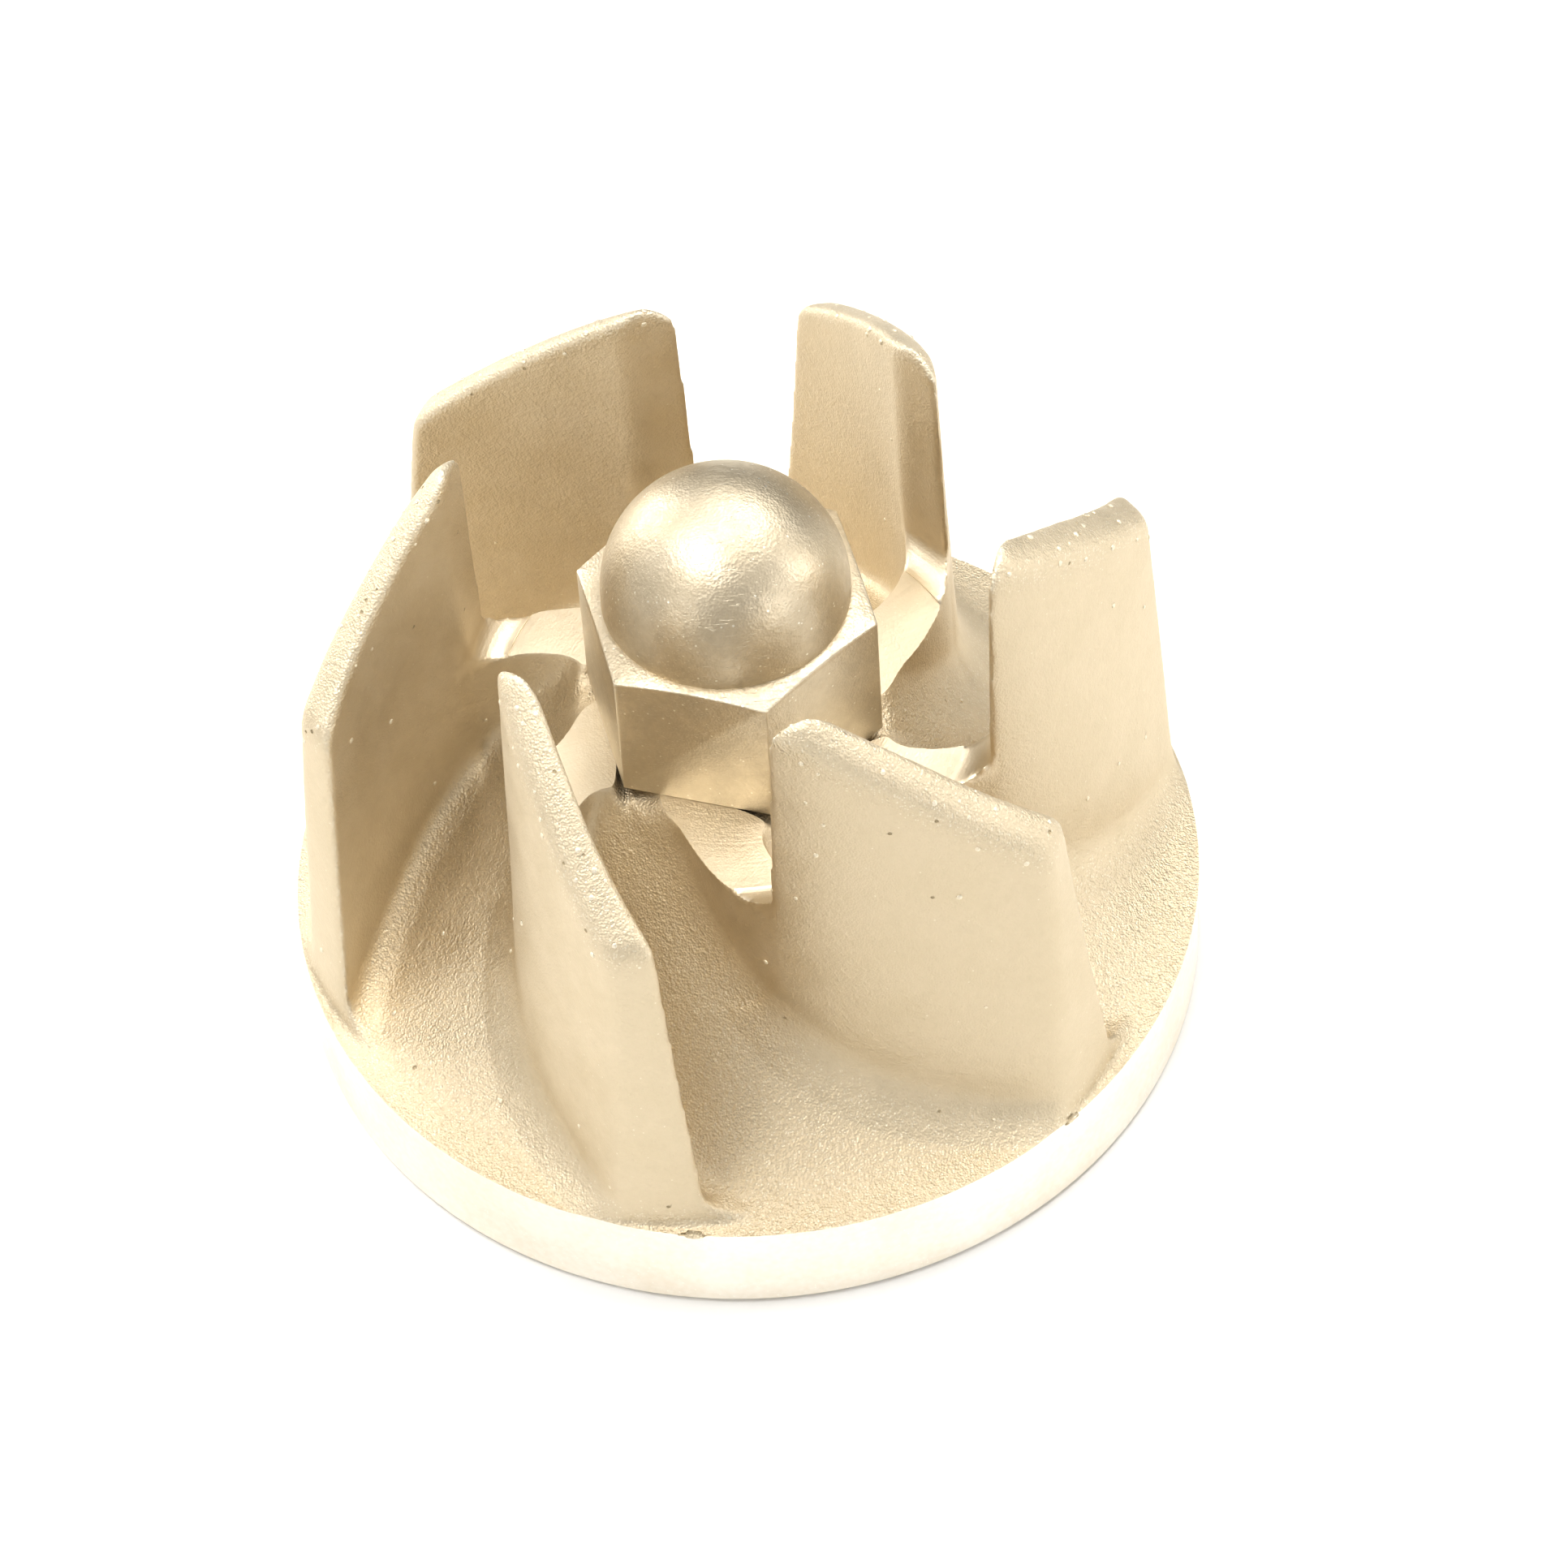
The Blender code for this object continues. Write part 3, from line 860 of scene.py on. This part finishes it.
# %% Hexagon and dome
NUT_FLAT_RADIUS = 0.012
NUT_HEX_HEIGHT = 0.0148
NUT_DOME_RADIUS = 0.0111
NUT_NECK_HEIGHT = 0.0009
NUT_TURN = math.radians(161.7)
NUT_HOLE_DEPTH = 0.020
NUT_DRILL_CONE = 0.004
NUT_CHAMFER_ANGLE = math.radians(15.0)
NUT_CHAMFER_INSET = 0.0007
NUT_EDGE = 0.0006
NUT_EDGE_SEGMENTS = 3
NUT_EDGE_ANGLE = math.radians(12.0)
NUT_STEPS = 192
DOME_STEPS = 40
FIT_GAP = 0.0003


def round_edges(piece):
    bevel = piece.modifiers.new("Edges", "BEVEL")
    bevel.width = NUT_EDGE
    bevel.segments = NUT_EDGE_SEGMENTS
    bevel.limit_method = "ANGLE"
    bevel.angle_limit = NUT_EDGE_ANGLE
    bevel.use_clamp_overlap = True
    return settle(piece)


hex_top = seat_height + FIT_GAP + NUT_HEX_HEIGHT
hex_height = hex_top - seat_height
corner = NUT_FLAT_RADIUS / math.cos(math.pi / 6)
nut_mesh = bpy.data.meshes.new("domed_nut")
shape = bmesh.new()
bmesh.ops.create_cone(shape, cap_ends=True, segments=6, radius1=corner, radius2=corner, depth=hex_height)
shape.verts.ensure_lookup_table()
first = shape.verts[0].co
turn = NUT_TURN - math.atan2(first.y, first.x)
bmesh.ops.rotate(shape, verts=shape.verts, matrix=Matrix.Rotation(turn, 3, "Z"))
bmesh.ops.translate(shape, verts=shape.verts, vec=(0, 0, seat_height + hex_height / 2))
shape.to_mesh(nut_mesh)
shape.free()
nut = new_piece("domed_nut", nut_mesh)

reach = corner + OVERRUN
face = NUT_FLAT_RADIUS - NUT_CHAMFER_INSET
fall = (reach - face) * math.tan(NUT_CHAMFER_ANGLE)
under = seat_height - OVERRUN
blank = [(0.0, hex_top), (face, hex_top), (reach, hex_top - fall), (reach, under), (0.0, under)]
cut(nut, turned("blank", blank, NUT_STEPS), "INTERSECT")
round_edges(nut)
neck_top = hex_top + NUT_NECK_HEIGHT
dome = [(0.0, neck_top + NUT_DOME_RADIUS)] + arc(0.0, neck_top, NUT_DOME_RADIUS, 90, 0, DOME_STEPS)[1:]
dome += [(NUT_DOME_RADIUS, hex_top - OVERRUN), (0.0, hex_top - OVERRUN)]
cut(nut, turned("dome", dome, NUT_STEPS), "UNION")
print("Nut:", len(nut.data.polygons), "faces")

# %% [markdown]
# ## Thread of the nut
#
# A tapped hole is a drilled one with a ridge that climbs round it, two millimetres a turn. The ridge could be
# turned as rings, but a real thread climbs. Geometry Nodes sweep a small triangle along a spiral, which is one
# node for the path and one for the sweep, and a boolean leaves only what is inside the hole.

# %% Drill and tap the nut
THREAD_RADIUS = 0.008
THREAD_PITCH = 0.002
THREAD_DEPTH = 0.0011
THREAD_TURNS = 7.5
THREAD_START = 0.001
THREAD_STEPS = 48


def make_thread_tree():
    sizes = {"Radius": THREAD_RADIUS, "Pitch": THREAD_PITCH, "Ridge": THREAD_DEPTH, "Turns": THREAD_TURNS}
    tree, given, result = modifier_tree("Thread ridge", {**sizes, "Foot": seat_height + THREAD_START})
    path = {"Resolution": THREAD_STEPS, "Rotations": given["Turns"]}
    path.update({"Start Radius": given["Radius"], "End Radius": given["Radius"]})
    path["Height"] = times(tree, given["Turns"], given["Pitch"])
    spiral = add(tree, "GeometryNodeCurveSpiral", path)
    lift = add(tree, "ShaderNodeCombineXYZ", {"Z": given["Foot"]}).outputs[0]
    lifted = add(tree, "GeometryNodeSetPosition", {"Geometry": spiral.outputs[0], "Offset": lift})
    upright = add(tree, "GeometryNodeSetCurveNormal", {"Curve": lifted.outputs[0]}, mode="Z_UP")
    outline = add(tree, "GeometryNodeCurvePrimitiveCircle", {"Resolution": 3, "Radius": given["Ridge"]})
    sweep = {"Curve": upright.outputs[0], "Profile Curve": outline.outputs[0], "Fill Caps": True}
    return end_tree(tree, given, result, add(tree, "GeometryNodeCurveToMesh", sweep))


ridge = run_tree(new_piece("ridge"), make_thread_tree(), Material=nut_steel)
ridge_heights = [1000 * point.co.z for point in ridge.data.vertices]
print(f"Thread ridge from {min(ridge_heights):.1f} to {max(ridge_heights):.1f} mm")
hole_top = seat_height + NUT_HOLE_DEPTH
hole = [(0.0, hole_top), (THREAD_RADIUS, hole_top - NUT_DRILL_CONE), (THREAD_RADIUS, seat_height - OVERRUN)]
hole.append((0.0, seat_height - OVERRUN))
hole_plug = turned("hole", hole, BORE_STEPS)
cut(hole_plug, ridge)
cut(nut, hole_plug)
print("Tapped nut:", len(nut.data.polygons), "faces")

# %% [markdown]
# ## Which faces are cast and which are turned
#
# One mesh can wear two finishes. Turned faces are known by where they lie: on the rim's cylinder, on the flat
# back or in the bore. The seat keeps the material of the casting, because its finish runs over into the fillet of
# the eye. Four masks go onto the points as attributes for the materials: how close a point is to the hub, whether
# it is on a vane's tip or in the eye, and how far its edge stands out.

# %% Helpers that measure a mesh
def points_of(mesh):
    """Places of all points."""
    spots = np.empty(len(mesh.vertices) * 3)
    mesh.vertices.foreach_get("co", spots)
    return spots.reshape(-1, 3)


def give_mask(mesh, name, values):
    """Keep a number from 0 to 1 with every point."""
    layer = mesh.attributes.new(name, "FLOAT", "POINT")
    layer.data.foreach_set("value", np.clip(values, 0.0, 1.0).astype(np.float32))


def proud_edges(mesh, rounds):
    """How far each point stands out of its neighbours, from 0 in a hollow to 1 on a sharp edge, and 0.5 if flat."""
    spots = points_of(mesh)
    normals = np.empty(len(spots) * 3)
    mesh.vertices.foreach_get("normal", normals)
    normals = normals.reshape(-1, 3)
    ends = np.empty(len(mesh.edges) * 2, dtype=np.int64)
    mesh.edges.foreach_get("vertices", ends)
    ends = ends.reshape(-1, 2)
    first, second = np.concatenate((ends, ends[:, ::-1])).T
    way = spots[second] - spots[first]
    length = np.maximum(np.linalg.norm(way, axis=1), 1e-9)
    fall = -np.einsum("ij,ij->i", way, normals[first]) / length
    count = np.maximum(np.bincount(first, minlength=len(spots)), 1)
    level = np.bincount(first, fall, minlength=len(spots)) / count
    for _ in range(rounds):
        level = 0.5 * level + 0.5 * np.bincount(first, level[second], minlength=len(spots)) / count
    return 0.5 + level


def faces_of(mesh):
    """Centres and normals of all faces."""
    count = len(mesh.polygons)
    centres, normals = np.empty(count * 3), np.empty(count * 3)
    mesh.polygons.foreach_get("center", centres)
    mesh.polygons.foreach_get("normal", normals)
    return centres.reshape(-1, 3), normals.reshape(-1, 3)


print("Helpers ready for", len(wheel.data.vertices), "points")

# %% Find the turned faces
# The height of a face's normal: 1 on a level face, 0 on an upright one
LEVEL_NORMAL = 0.999
UPRIGHT_NORMAL = 0.1
TURNED_MARGIN = 0.0002
SEAT_MARGIN = 0.00001

mesh = wheel.data
mesh.materials.clear()
mesh.materials.append(cast_steel)
mesh.materials.append(turned_steel)
centres, normals = faces_of(mesh)
across = np.hypot(centres[:, 0], centres[:, 1])
rise = np.abs(normals[:, 2])
level = rise > LEVEL_NORMAL
on_wall = (across > RIM_RADIUS - TURNED_MARGIN) & (rise < UPRIGHT_NORMAL)
on_back = centres[:, 2] < RIM_CHAMFER
on_seat = level & (np.abs(centres[:, 2] - seat_height) < SEAT_MARGIN) & (across < seat_reach)
in_bore = (across < BORE_RADIUS + KEYWAY_DEPTH + TURNED_MARGIN) & (centres[:, 2] < seat_height)
is_turned = on_wall | on_back | in_bore
is_flat = on_seat | (on_back & level)
mesh.polygons.foreach_set("material_index", is_turned.astype(np.int32))
mesh.polygons.foreach_set("use_smooth", ~is_flat)
print("Turned faces:", int(is_turned.sum()), "of", len(mesh.polygons))

# %% Put the masks on the points
# A band is how far its mask stays full, and the width in which it then fades
HUB_BAND = (0.0006, 0.0016)
TIP_BAND = (0.0014, 0.0010)
EYE_MARGINS = (0.0003, 0.0001)
EYE_FADE = 1.6
TIP_RUN_LIMIT = 1.1
EDGE_ROUNDS = {"wheel": 3, "nut": 1}

spots = points_of(mesh)
across = np.hypot(spots[:, 0], spots[:, 1])
radii = np.linspace(0, RIM_RADIUS, 200)
hub_gap = spots[:, 2] - np.interp(across, radii, [hub_height(radius) for radius in radii])
run = np.clip((across - EYE_RADIUS) / (OUTER_TIP_RADIUS - EYE_RADIUS), 0.0, TIP_RUN_LIMIT)
tip_gap = tip_height + run * (OUTER_TIP_RISE - INNER_TIP_RISE) - spots[:, 2]
over_seat = spots[:, 2] - seat_height
in_eye = (across < EYE_RADIUS + EYE_MARGINS[0]) & (over_seat > -EYE_MARGINS[1])
edges = proud_edges(mesh, EDGE_ROUNDS["wheel"])
give_mask(mesh, "on_hub", 1.0 - (hub_gap - HUB_BAND[0]) / HUB_BAND[1])
give_mask(mesh, "on_tip", 1.0 - (tip_gap - TIP_BAND[0]) / TIP_BAND[1])
give_mask(mesh, "in_eye", in_eye * (EYE_FADE - over_seat / EYE_FILLET))
give_mask(mesh, "edge", edges)
give_mask(nut.data, "edge", proud_edges(nut.data, EDGE_ROUNDS["nut"]))
print("Sharpest edge:", round(float(edges.max()), 2))

# %% [markdown]
# ## What blasting leaves on steel
#
# Materials in Blender are node trees too. What more than one finish shows is built once as a group: the grain that
# the blasting leaves, with a mask of a few facets for painted glints, the soft stains of handling, and the fine
# rings of a lathe tool. All three read the place in millimetres, so that the grain has the same size on every piece.
# They put out heights and masks only, and each material decides what to do with them.

# %% Helpers for materials
def place_in_mm(tree):
    return scaled(tree, add(tree, "ShaderNodeTexCoord").outputs["Object"], 1000.0)


def mixed(tree, share, low, high):
    """A colour between two colours."""
    made = add(tree, "ShaderNodeMix", data_type="RGBA")
    colours = [socket for socket in made.inputs if socket.type == "RGBA"]
    feed(tree, made.inputs[0], share)
    feed(tree, colours[0], low)
    feed(tree, colours[1], high)
    return next(socket for socket in made.outputs if socket.type == "RGBA")


def pattern(tree, place, size, detail, kind="ShaderNodeTexNoise"):
    """A noise whose lumps have a size in millimetres."""
    settings = {"Vector": place, "Scale": over(tree, 1.0, size), "Detail": detail}
    return add(tree, kind, settings).outputs


print("Helpers ready for materials")

# %% Groups for grain, stains and rings
CRATER_DEPTH = 0.6
FACET_EDGE = (0.60, 0.25)
SPECK_SHARE = 0.35
STAIN_EDGE = (0.25, 0.75)


def shader_group(name, sizes, outputs):
    """A group that reads a place and named sizes, and puts out heights or masks."""
    inputs = [("Place", VECTOR)] + [(label, FLOAT, value) for label, value in sizes.items()]
    return new_tree("ShaderNodeTree", name, inputs, [(label, FLOAT) for label in outputs])


def make_grain_group():
    """Blasted grain: small craters side by side, and a few facets that the materials paint as glints."""
    sizes = {"Grain size": 0.22, "Lump size": 0.8, "Sparkle share": 0.05}
    tree, given, result = shader_group("Blast grain", sizes, ("Height", "Sparkle"))
    cells = pattern(tree, given["Place"], given["Grain size"], 0.0, "ShaderNodeTexVoronoi")
    lumps = pattern(tree, given["Place"], given["Lump size"], 1.0)
    height = maths(tree, "MULTIPLY_ADD", cells["Distance"], CRATER_DEPTH, lumps[0])
    # A few cells are chosen as facets for painted glints
    chance = add(tree, "ShaderNodeSeparateColor", {"Color": cells["Color"]}).outputs[0]
    chosen = maths(tree, "LESS_THAN", chance, given["Sparkle share"])
    near = ramp(tree, cells["Distance"], *FACET_EDGE)
    feed(tree, result["Height"], height)
    feed(tree, result["Sparkle"], times(tree, chosen, near))
    return tree


def make_stain_group():
    """Soft patches, from 0 to 1 round a half, large ones with small ones in them."""
    sizes = {"Patch size": 6.0, "Speck size": 0.9, "Shift": 0.0}
    tree, given, result = shader_group("Stains", sizes, ("Tone",))
    spot = vectors(tree, "ADD", given["Place"], given["Shift"])
    patches = pattern(tree, spot, given["Patch size"], 1.5)[0]
    specks = pattern(tree, spot, given["Speck size"], 2.0)[0]
    tone = maths(tree, "MULTIPLY_ADD", specks, SPECK_SHARE, times(tree, patches, 1.0 - SPECK_SHARE))
    feed(tree, result["Tone"], ramp(tree, tone, *STAIN_EDGE))
    return tree


def make_ring_group():
    """Rings of a lathe tool: a noise that changes only with the distance from the axis and along it."""
    tree, given, result = shader_group("Turned rings", {"Ring width": 0.12, "Waver": 0.15}, ("Height",))
    part = add(tree, "ShaderNodeSeparateXYZ", {"Vector": given["Place"]}).outputs
    flat = add(tree, "ShaderNodeCombineXYZ", {"X": part["X"], "Y": part["Y"]}).outputs[0]
    along = plus(tree, vectors(tree, "LENGTH", flat), part["Z"])
    drift = add(tree, "ShaderNodeTexNoise", {"Vector": given["Place"], "Scale": 0.3, "Detail": 1.0}).outputs[0]
    along = maths(tree, "MULTIPLY_ADD", drift, given["Waver"], along)
    rings = {"W": over(tree, along, given["Ring width"]), "Scale": 1.0, "Detail": 2.0}
    feed(tree, result["Height"], add(tree, "ShaderNodeTexNoise", rings, noise_dimensions="1D").outputs[0])
    return tree


grain_group = make_grain_group()
stain_group = make_stain_group()
ring_group = make_ring_group()
print("Shared groups:", ", ".join(made.name for made in (grain_group, stain_group, ring_group)))

# %% [markdown]
# ## Cast steel
#
# The casting is warm champagne, lighter than bare steel, and blasting has made it nearly matt. The hub is coarse,
# the faces of the vanes are smoother and the tips are rough. A few facets of the grain get painted glints, most on
# the hub and the tips. Hollows get painted brown shade, and edges are painted lighter, partly as wear and partly as
# a painted highlight. The seat and the fillet of the eye were turned before the blasting, so they are smooth and
# pale, with faint rings. The masks on the mesh say which is which. A single rough metal would do for a view from far
# off. Up close, the grain has to change from place to place as the real one does.

# %% Finish of the casting
CHAMPAGNE = (0.735, 0.652, 0.508, 1.0)
PALE = (0.84, 0.76, 0.625, 1.0)
# TAN is the brown of the painted shade in hollows
TAN = (0.45, 0.375, 0.25, 1.0)
# Near white for painted glints and highlights, and for wear and scratches
GLINT_AND_WEAR_WHITE = (1.0, 0.97, 0.88, 1.0)
# Below this edge mask, hollows get painted shade
PAINTED_SHADE_IN_HOLLOWS = (0.47, 0.36)
# Above this edge mask, edges are lighter, partly wear and partly painted highlight
WORN_AND_HIGHLIT_EDGES = (0.56, 0.72)


def mask(tree, name):
    """Read a mask of the mesh."""
    return add(tree, "ShaderNodeAttribute", attribute_name=name, attribute_type="GEOMETRY").outputs["Fac"]


def shader_of(material):
    """The node tree of a material, and its shader."""
    material.use_nodes = True
    tree = material.node_tree
    return tree, tree.nodes["Principled BSDF"]


def bumped(tree, shader, height, distance, strength):
    """Turn a height in millimetres into the shader's normal."""
    bump = add(tree, "ShaderNodeBump", {"Height": height, "Distance": distance, "Strength": strength})
    feed(tree, shader.inputs["Normal"], bump.outputs["Normal"])


def tinted(tree, colour, tint, share, most):
    """Lay a tint over a colour where share is 1, and at most so strongly."""
    return mixed(tree, times(tree, share, most), colour, tint)


def finish_cast_steel(material):
    tree, shader = shader_of(material)
    place = place_in_mm(tree)
    hub, tip, eye, proud = (mask(tree, name) for name in ("on_hub", "on_tip", "in_eye", "edge"))
    rough = maths(tree, "MAXIMUM", hub, times(tree, tip, 0.8))
    # More painted glints where the skin is rough
    share = between(tree, 0.003, 0.24, rough)
    grain = group(tree, grain_group, Place=place, Grain_size=0.21, Lump_size=0.55, Sparkle_share=share)
    tone = group(tree, stain_group, Place=place, Patch_size=5.0, Speck_size=1.1, Shift=1.0)["Tone"]
    rings = group(tree, ring_group, Place=place, Ring_width=0.35, Waver=0.6)["Height"]

    # Heights: deep grain on the hub, shallow grain and rings in the eye
    height = times(tree, grain["Height"], between(tree, 0.5, 1.0, rough))
    height = times(tree, height, between(tree, 1.0, 0.35, eye))
    height = maths(tree, "MULTIPLY_ADD", times(tree, rings, eye), 0.12, height)
    bumped(tree, shader, height, 0.00014, 0.85)

    # Colours: stains, painted shade in hollows, edges lighter from wear and painted highlight, painted glints, pale
    # eye
    colour = tinted(tree, CHAMPAGNE, PALE, tone, 0.5)
    # Painted shade: hollows are tinted brown
    colour = tinted(tree, colour, TAN, ramp(tree, proud, *PAINTED_SHADE_IN_HOLLOWS), 0.55)
    # Edges tinted light: partly wear, partly painted highlight
    colour = tinted(tree, colour, GLINT_AND_WEAR_WHITE, ramp(tree, proud, *WORN_AND_HIGHLIT_EDGES), 0.5)
    # Painted glints on a few facets of the grain
    colour = tinted(tree, colour, GLINT_AND_WEAR_WHITE, grain["Sparkle"], 0.26)
    feed(tree, shader.inputs["Base Color"], tinted(tree, colour, PALE, eye, 0.6))
    shader.inputs["Metallic"].default_value = 1.0
    softness = maths(tree, "MULTIPLY_ADD", tone, 0.10, between(tree, 0.56, 0.46, eye))
    feed(tree, shader.inputs["Roughness"], maths(tree, "MULTIPLY_ADD", grain["Sparkle"], -0.12, softness))


finish_cast_steel(cast_steel)
print("Cast steel:", len(cast_steel.node_tree.nodes), "nodes")

# %% [markdown]
# ## Turned steel
#
# The lathe leaves bright metal with fine rings. The rim mirrors the pale table so well that in the photograph it
# nearly vanishes into it, so its colour is close to white and its roughness low. The same finish is in the bore
# and on the back. The rings come from the group that the eye also uses, set finer here.

# %% Finish of the turned faces
BRIGHT = (0.97, 0.93, 0.86, 1.0)
DULL = (0.90, 0.84, 0.74, 1.0)


def finish_turned_steel(material):
    tree, shader = shader_of(material)
    place = place_in_mm(tree)
    rings = group(tree, ring_group, Place=place, Ring_width=0.10)["Height"]
    tone = group(tree, stain_group, Place=place, Patch_size=9.0, Speck_size=0.7, Shift=4.0)["Tone"]
    grain = group(tree, grain_group, Place=place, Grain_size=0.18, Sparkle_share=0.02)
    colour = mixed(tree, tone, BRIGHT, DULL)
    # Painted glints: a few facets of the grain are painted near white
    feed(tree, shader.inputs["Base Color"], mixed(tree, grain["Sparkle"], colour, GLINT_AND_WEAR_WHITE))
    shader.inputs["Metallic"].default_value = 1.0
    feed(tree, shader.inputs["Roughness"], maths(tree, "MULTIPLY_ADD", tone, 0.12, 0.30))
    height = maths(tree, "MULTIPLY_ADD", grain["Height"], 0.25, rings)
    bumped(tree, shader, height, 0.00003, 0.5)


finish_turned_steel(turned_steel)
print("Turned steel:", len(turned_steel.node_tree.nodes), "nodes")

# %% [markdown]
# ## Steel of the nut
#
# The nut was turned and then blasted with the wheel, so it is smoother than the casting, and its dome shines
# softly. Handling has left fine scratches and a few dark patches. Its edges are painted lighter, partly as wear and
# partly as a painted highlight, and a few facets of its grain get painted glints. The scratches are a noise that is
# stretched twenty times along one direction, with all but its highest parts cut off.

# %% Finish of the nut
NUT_COLOUR = (0.75, 0.67, 0.535, 1.0)
NUT_DARK = (0.57, 0.50, 0.38, 1.0)
# Above this edge mask, the nut's edges are lighter, partly wear and partly painted highlight
NUT_WORN_AND_HIGHLIT_EDGES = (0.54, 0.66)
SCRATCH_TILT = (0.5, 0.35, 0.2)
SCRATCH_STRETCH = (0.35, 7.0, 7.0)
SCRATCH_EDGE = (0.62, 0.72)


def finish_nut_steel(material):
    tree, shader = shader_of(material)
    place = place_in_mm(tree)
    grain = group(tree, grain_group, Place=place, Grain_size=0.26, Lump_size=0.9, Sparkle_share=0.012)
    tone = group(tree, stain_group, Place=place, Patch_size=4.5, Speck_size=0.8, Shift=9.0)["Tone"]
    stretched = add(tree, "ShaderNodeMapping", {"Vector": place, "Rotation": SCRATCH_TILT, "Scale": SCRATCH_STRETCH})
    scratches = ramp(tree, pattern(tree, stretched.outputs[0], 1.0, 2.0)[0], *SCRATCH_EDGE)
    colour = tinted(tree, NUT_COLOUR, NUT_DARK, tone, 0.6)
    # Edges tinted light: partly wear, partly painted highlight
    colour = tinted(tree, colour, GLINT_AND_WEAR_WHITE, ramp(tree, mask(tree, "edge"), *NUT_WORN_AND_HIGHLIT_EDGES), 0.5)
    # Painted glints on a few facets, and the real scratches lighter too
    bright = maths(tree, "MAXIMUM", grain["Sparkle"], times(tree, scratches, 0.35))
    feed(tree, shader.inputs["Base Color"], tinted(tree, colour, GLINT_AND_WEAR_WHITE, bright, 0.8))
    shader.inputs["Metallic"].default_value = 1.0
    softness = maths(tree, "MULTIPLY_ADD", tone, 0.10, 0.46)
    feed(tree, shader.inputs["Roughness"], maths(tree, "MULTIPLY_ADD", bright, -0.12, softness))
    height = maths(tree, "MULTIPLY_ADD", scratches, -0.5, grain["Height"])
    bumped(tree, shader, height, 0.00007, 0.6)


finish_nut_steel(nut_steel)
print("Nut steel:", len(nut_steel.node_tree.nodes), "nodes")

# %% [markdown]
# ## Pieces on their solids
#
# Each finer piece rides on the wheel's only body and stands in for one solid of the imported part, which keeps its
# place in the physics. Its slot names the finish in the part's record. Edges sharper than 32 degrees stay crisp,
# and all others are shaded smooth.

# %% Ride, replace and finish
SHARP_ANGLE = math.radians(32)
nut.data.materials.clear()
nut.data.materials.append(nut_steel)
for piece, node, slot in ((wheel, "impeller_casting", "cast_steel"), (nut, "cap_nut", "nut_steel")):
    piece.data.set_sharp_from_angle(angle=SHARP_ANGLE)
    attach(piece, "root")
    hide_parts(node)
    piece.data.calc_loop_triangles()
    print(piece.name, len(piece.data.loop_triangles), "triangles")

# %% [markdown]
# ## Table and studio light
#
# The photograph is bright and soft, and its pale table has gone quite white. High lamps at the left, the front
# left and the right light the faces, and low ones all round fill the channels between the vanes. The strength of
# each was found by lighting the wheel with one lamp at a time, and then solving for the mixture that gives the
# tones of the photograph. One gamma for the whole picture stands for the contrast of the camera that took it.

# %% Floor and light
FLOOR_HALF = 3.0
LAMP_WIDTH = 0.40
CAMERA_GAMMA = 0.72
LAMP_DISTANCE = 0.9
LAMP_AIM = 0.03
PAPER_TONES = (0.92, 0.915, 0.90, 1.0), (0.90, 0.895, 0.88, 1.0)
STUDIO_COLOUR = (1.0, 0.98, 0.95, 1.0)
STUDIO_STRENGTH = 0.02
LAMPS = (
    (174, 66, 2.5),
    (230, 66, 3.1),
    (30, 66, 3.4),
    (45, 48, 1.4),
    (90, 48, 1.5),
    (0, 20, 2.3),
    (135, 20, 3.6),
    (180, 20, 0.8),
    (225, 20, 1.7),
    (270, 20, 0.4),
    (315, 20, 1.9),
)
floor_mesh = bpy.data.meshes.new("floor")
floor_corners = [(-1, -1), (1, -1), (1, 1), (-1, 1)]
floor_mesh.from_pydata([(FLOOR_HALF * x, FLOOR_HALF * y, 0.0) for x, y in floor_corners], [], [(0, 1, 2, 3)])
floor = new_piece("floor", floor_mesh)
paper = bpy.data.materials.new("paper")
tree, shader = shader_of(paper)
tone = group(tree, stain_group, Place=place_in_mm(tree), Patch_size=60.0, Speck_size=4.0)["Tone"]
feed(tree, shader.inputs["Base Color"], mixed(tree, tone, *PAPER_TONES))
shader.inputs["Roughness"].default_value = 0.8
floor_mesh.materials.append(paper)

world = bpy.data.worlds.new("studio")
bpy.context.scene.world = world
world.use_nodes = True
background = world.node_tree.nodes["Background"]
background.inputs["Color"].default_value = STUDIO_COLOUR
background.inputs["Strength"].default_value = STUDIO_STRENGTH


def lamp(bearing, height, power):
    """A soft box that looks at the wheel from a bearing and a height in degrees."""
    data = bpy.data.lights.new("soft_box", "AREA")
    data.size = LAMP_WIDTH
    data.energy = power
    made = new_piece("soft_box", data)
    turn, rise = math.radians(bearing), math.radians(height)
    aim = Vector((math.cos(turn) * math.cos(rise), math.sin(turn) * math.cos(rise), math.sin(rise)))
    made.location = aim * LAMP_DISTANCE + Vector((0.0, 0.0, LAMP_AIM))
    made.rotation_euler = aim.to_track_quat("Z", "Y").to_euler()


for bearing, height, power in LAMPS:
    lamp(bearing, height, power)
view = bpy.context.scene.view_settings
view.view_transform = "Standard"
view.gamma = CAMERA_GAMMA
print(len(LAMPS), "soft boxes")
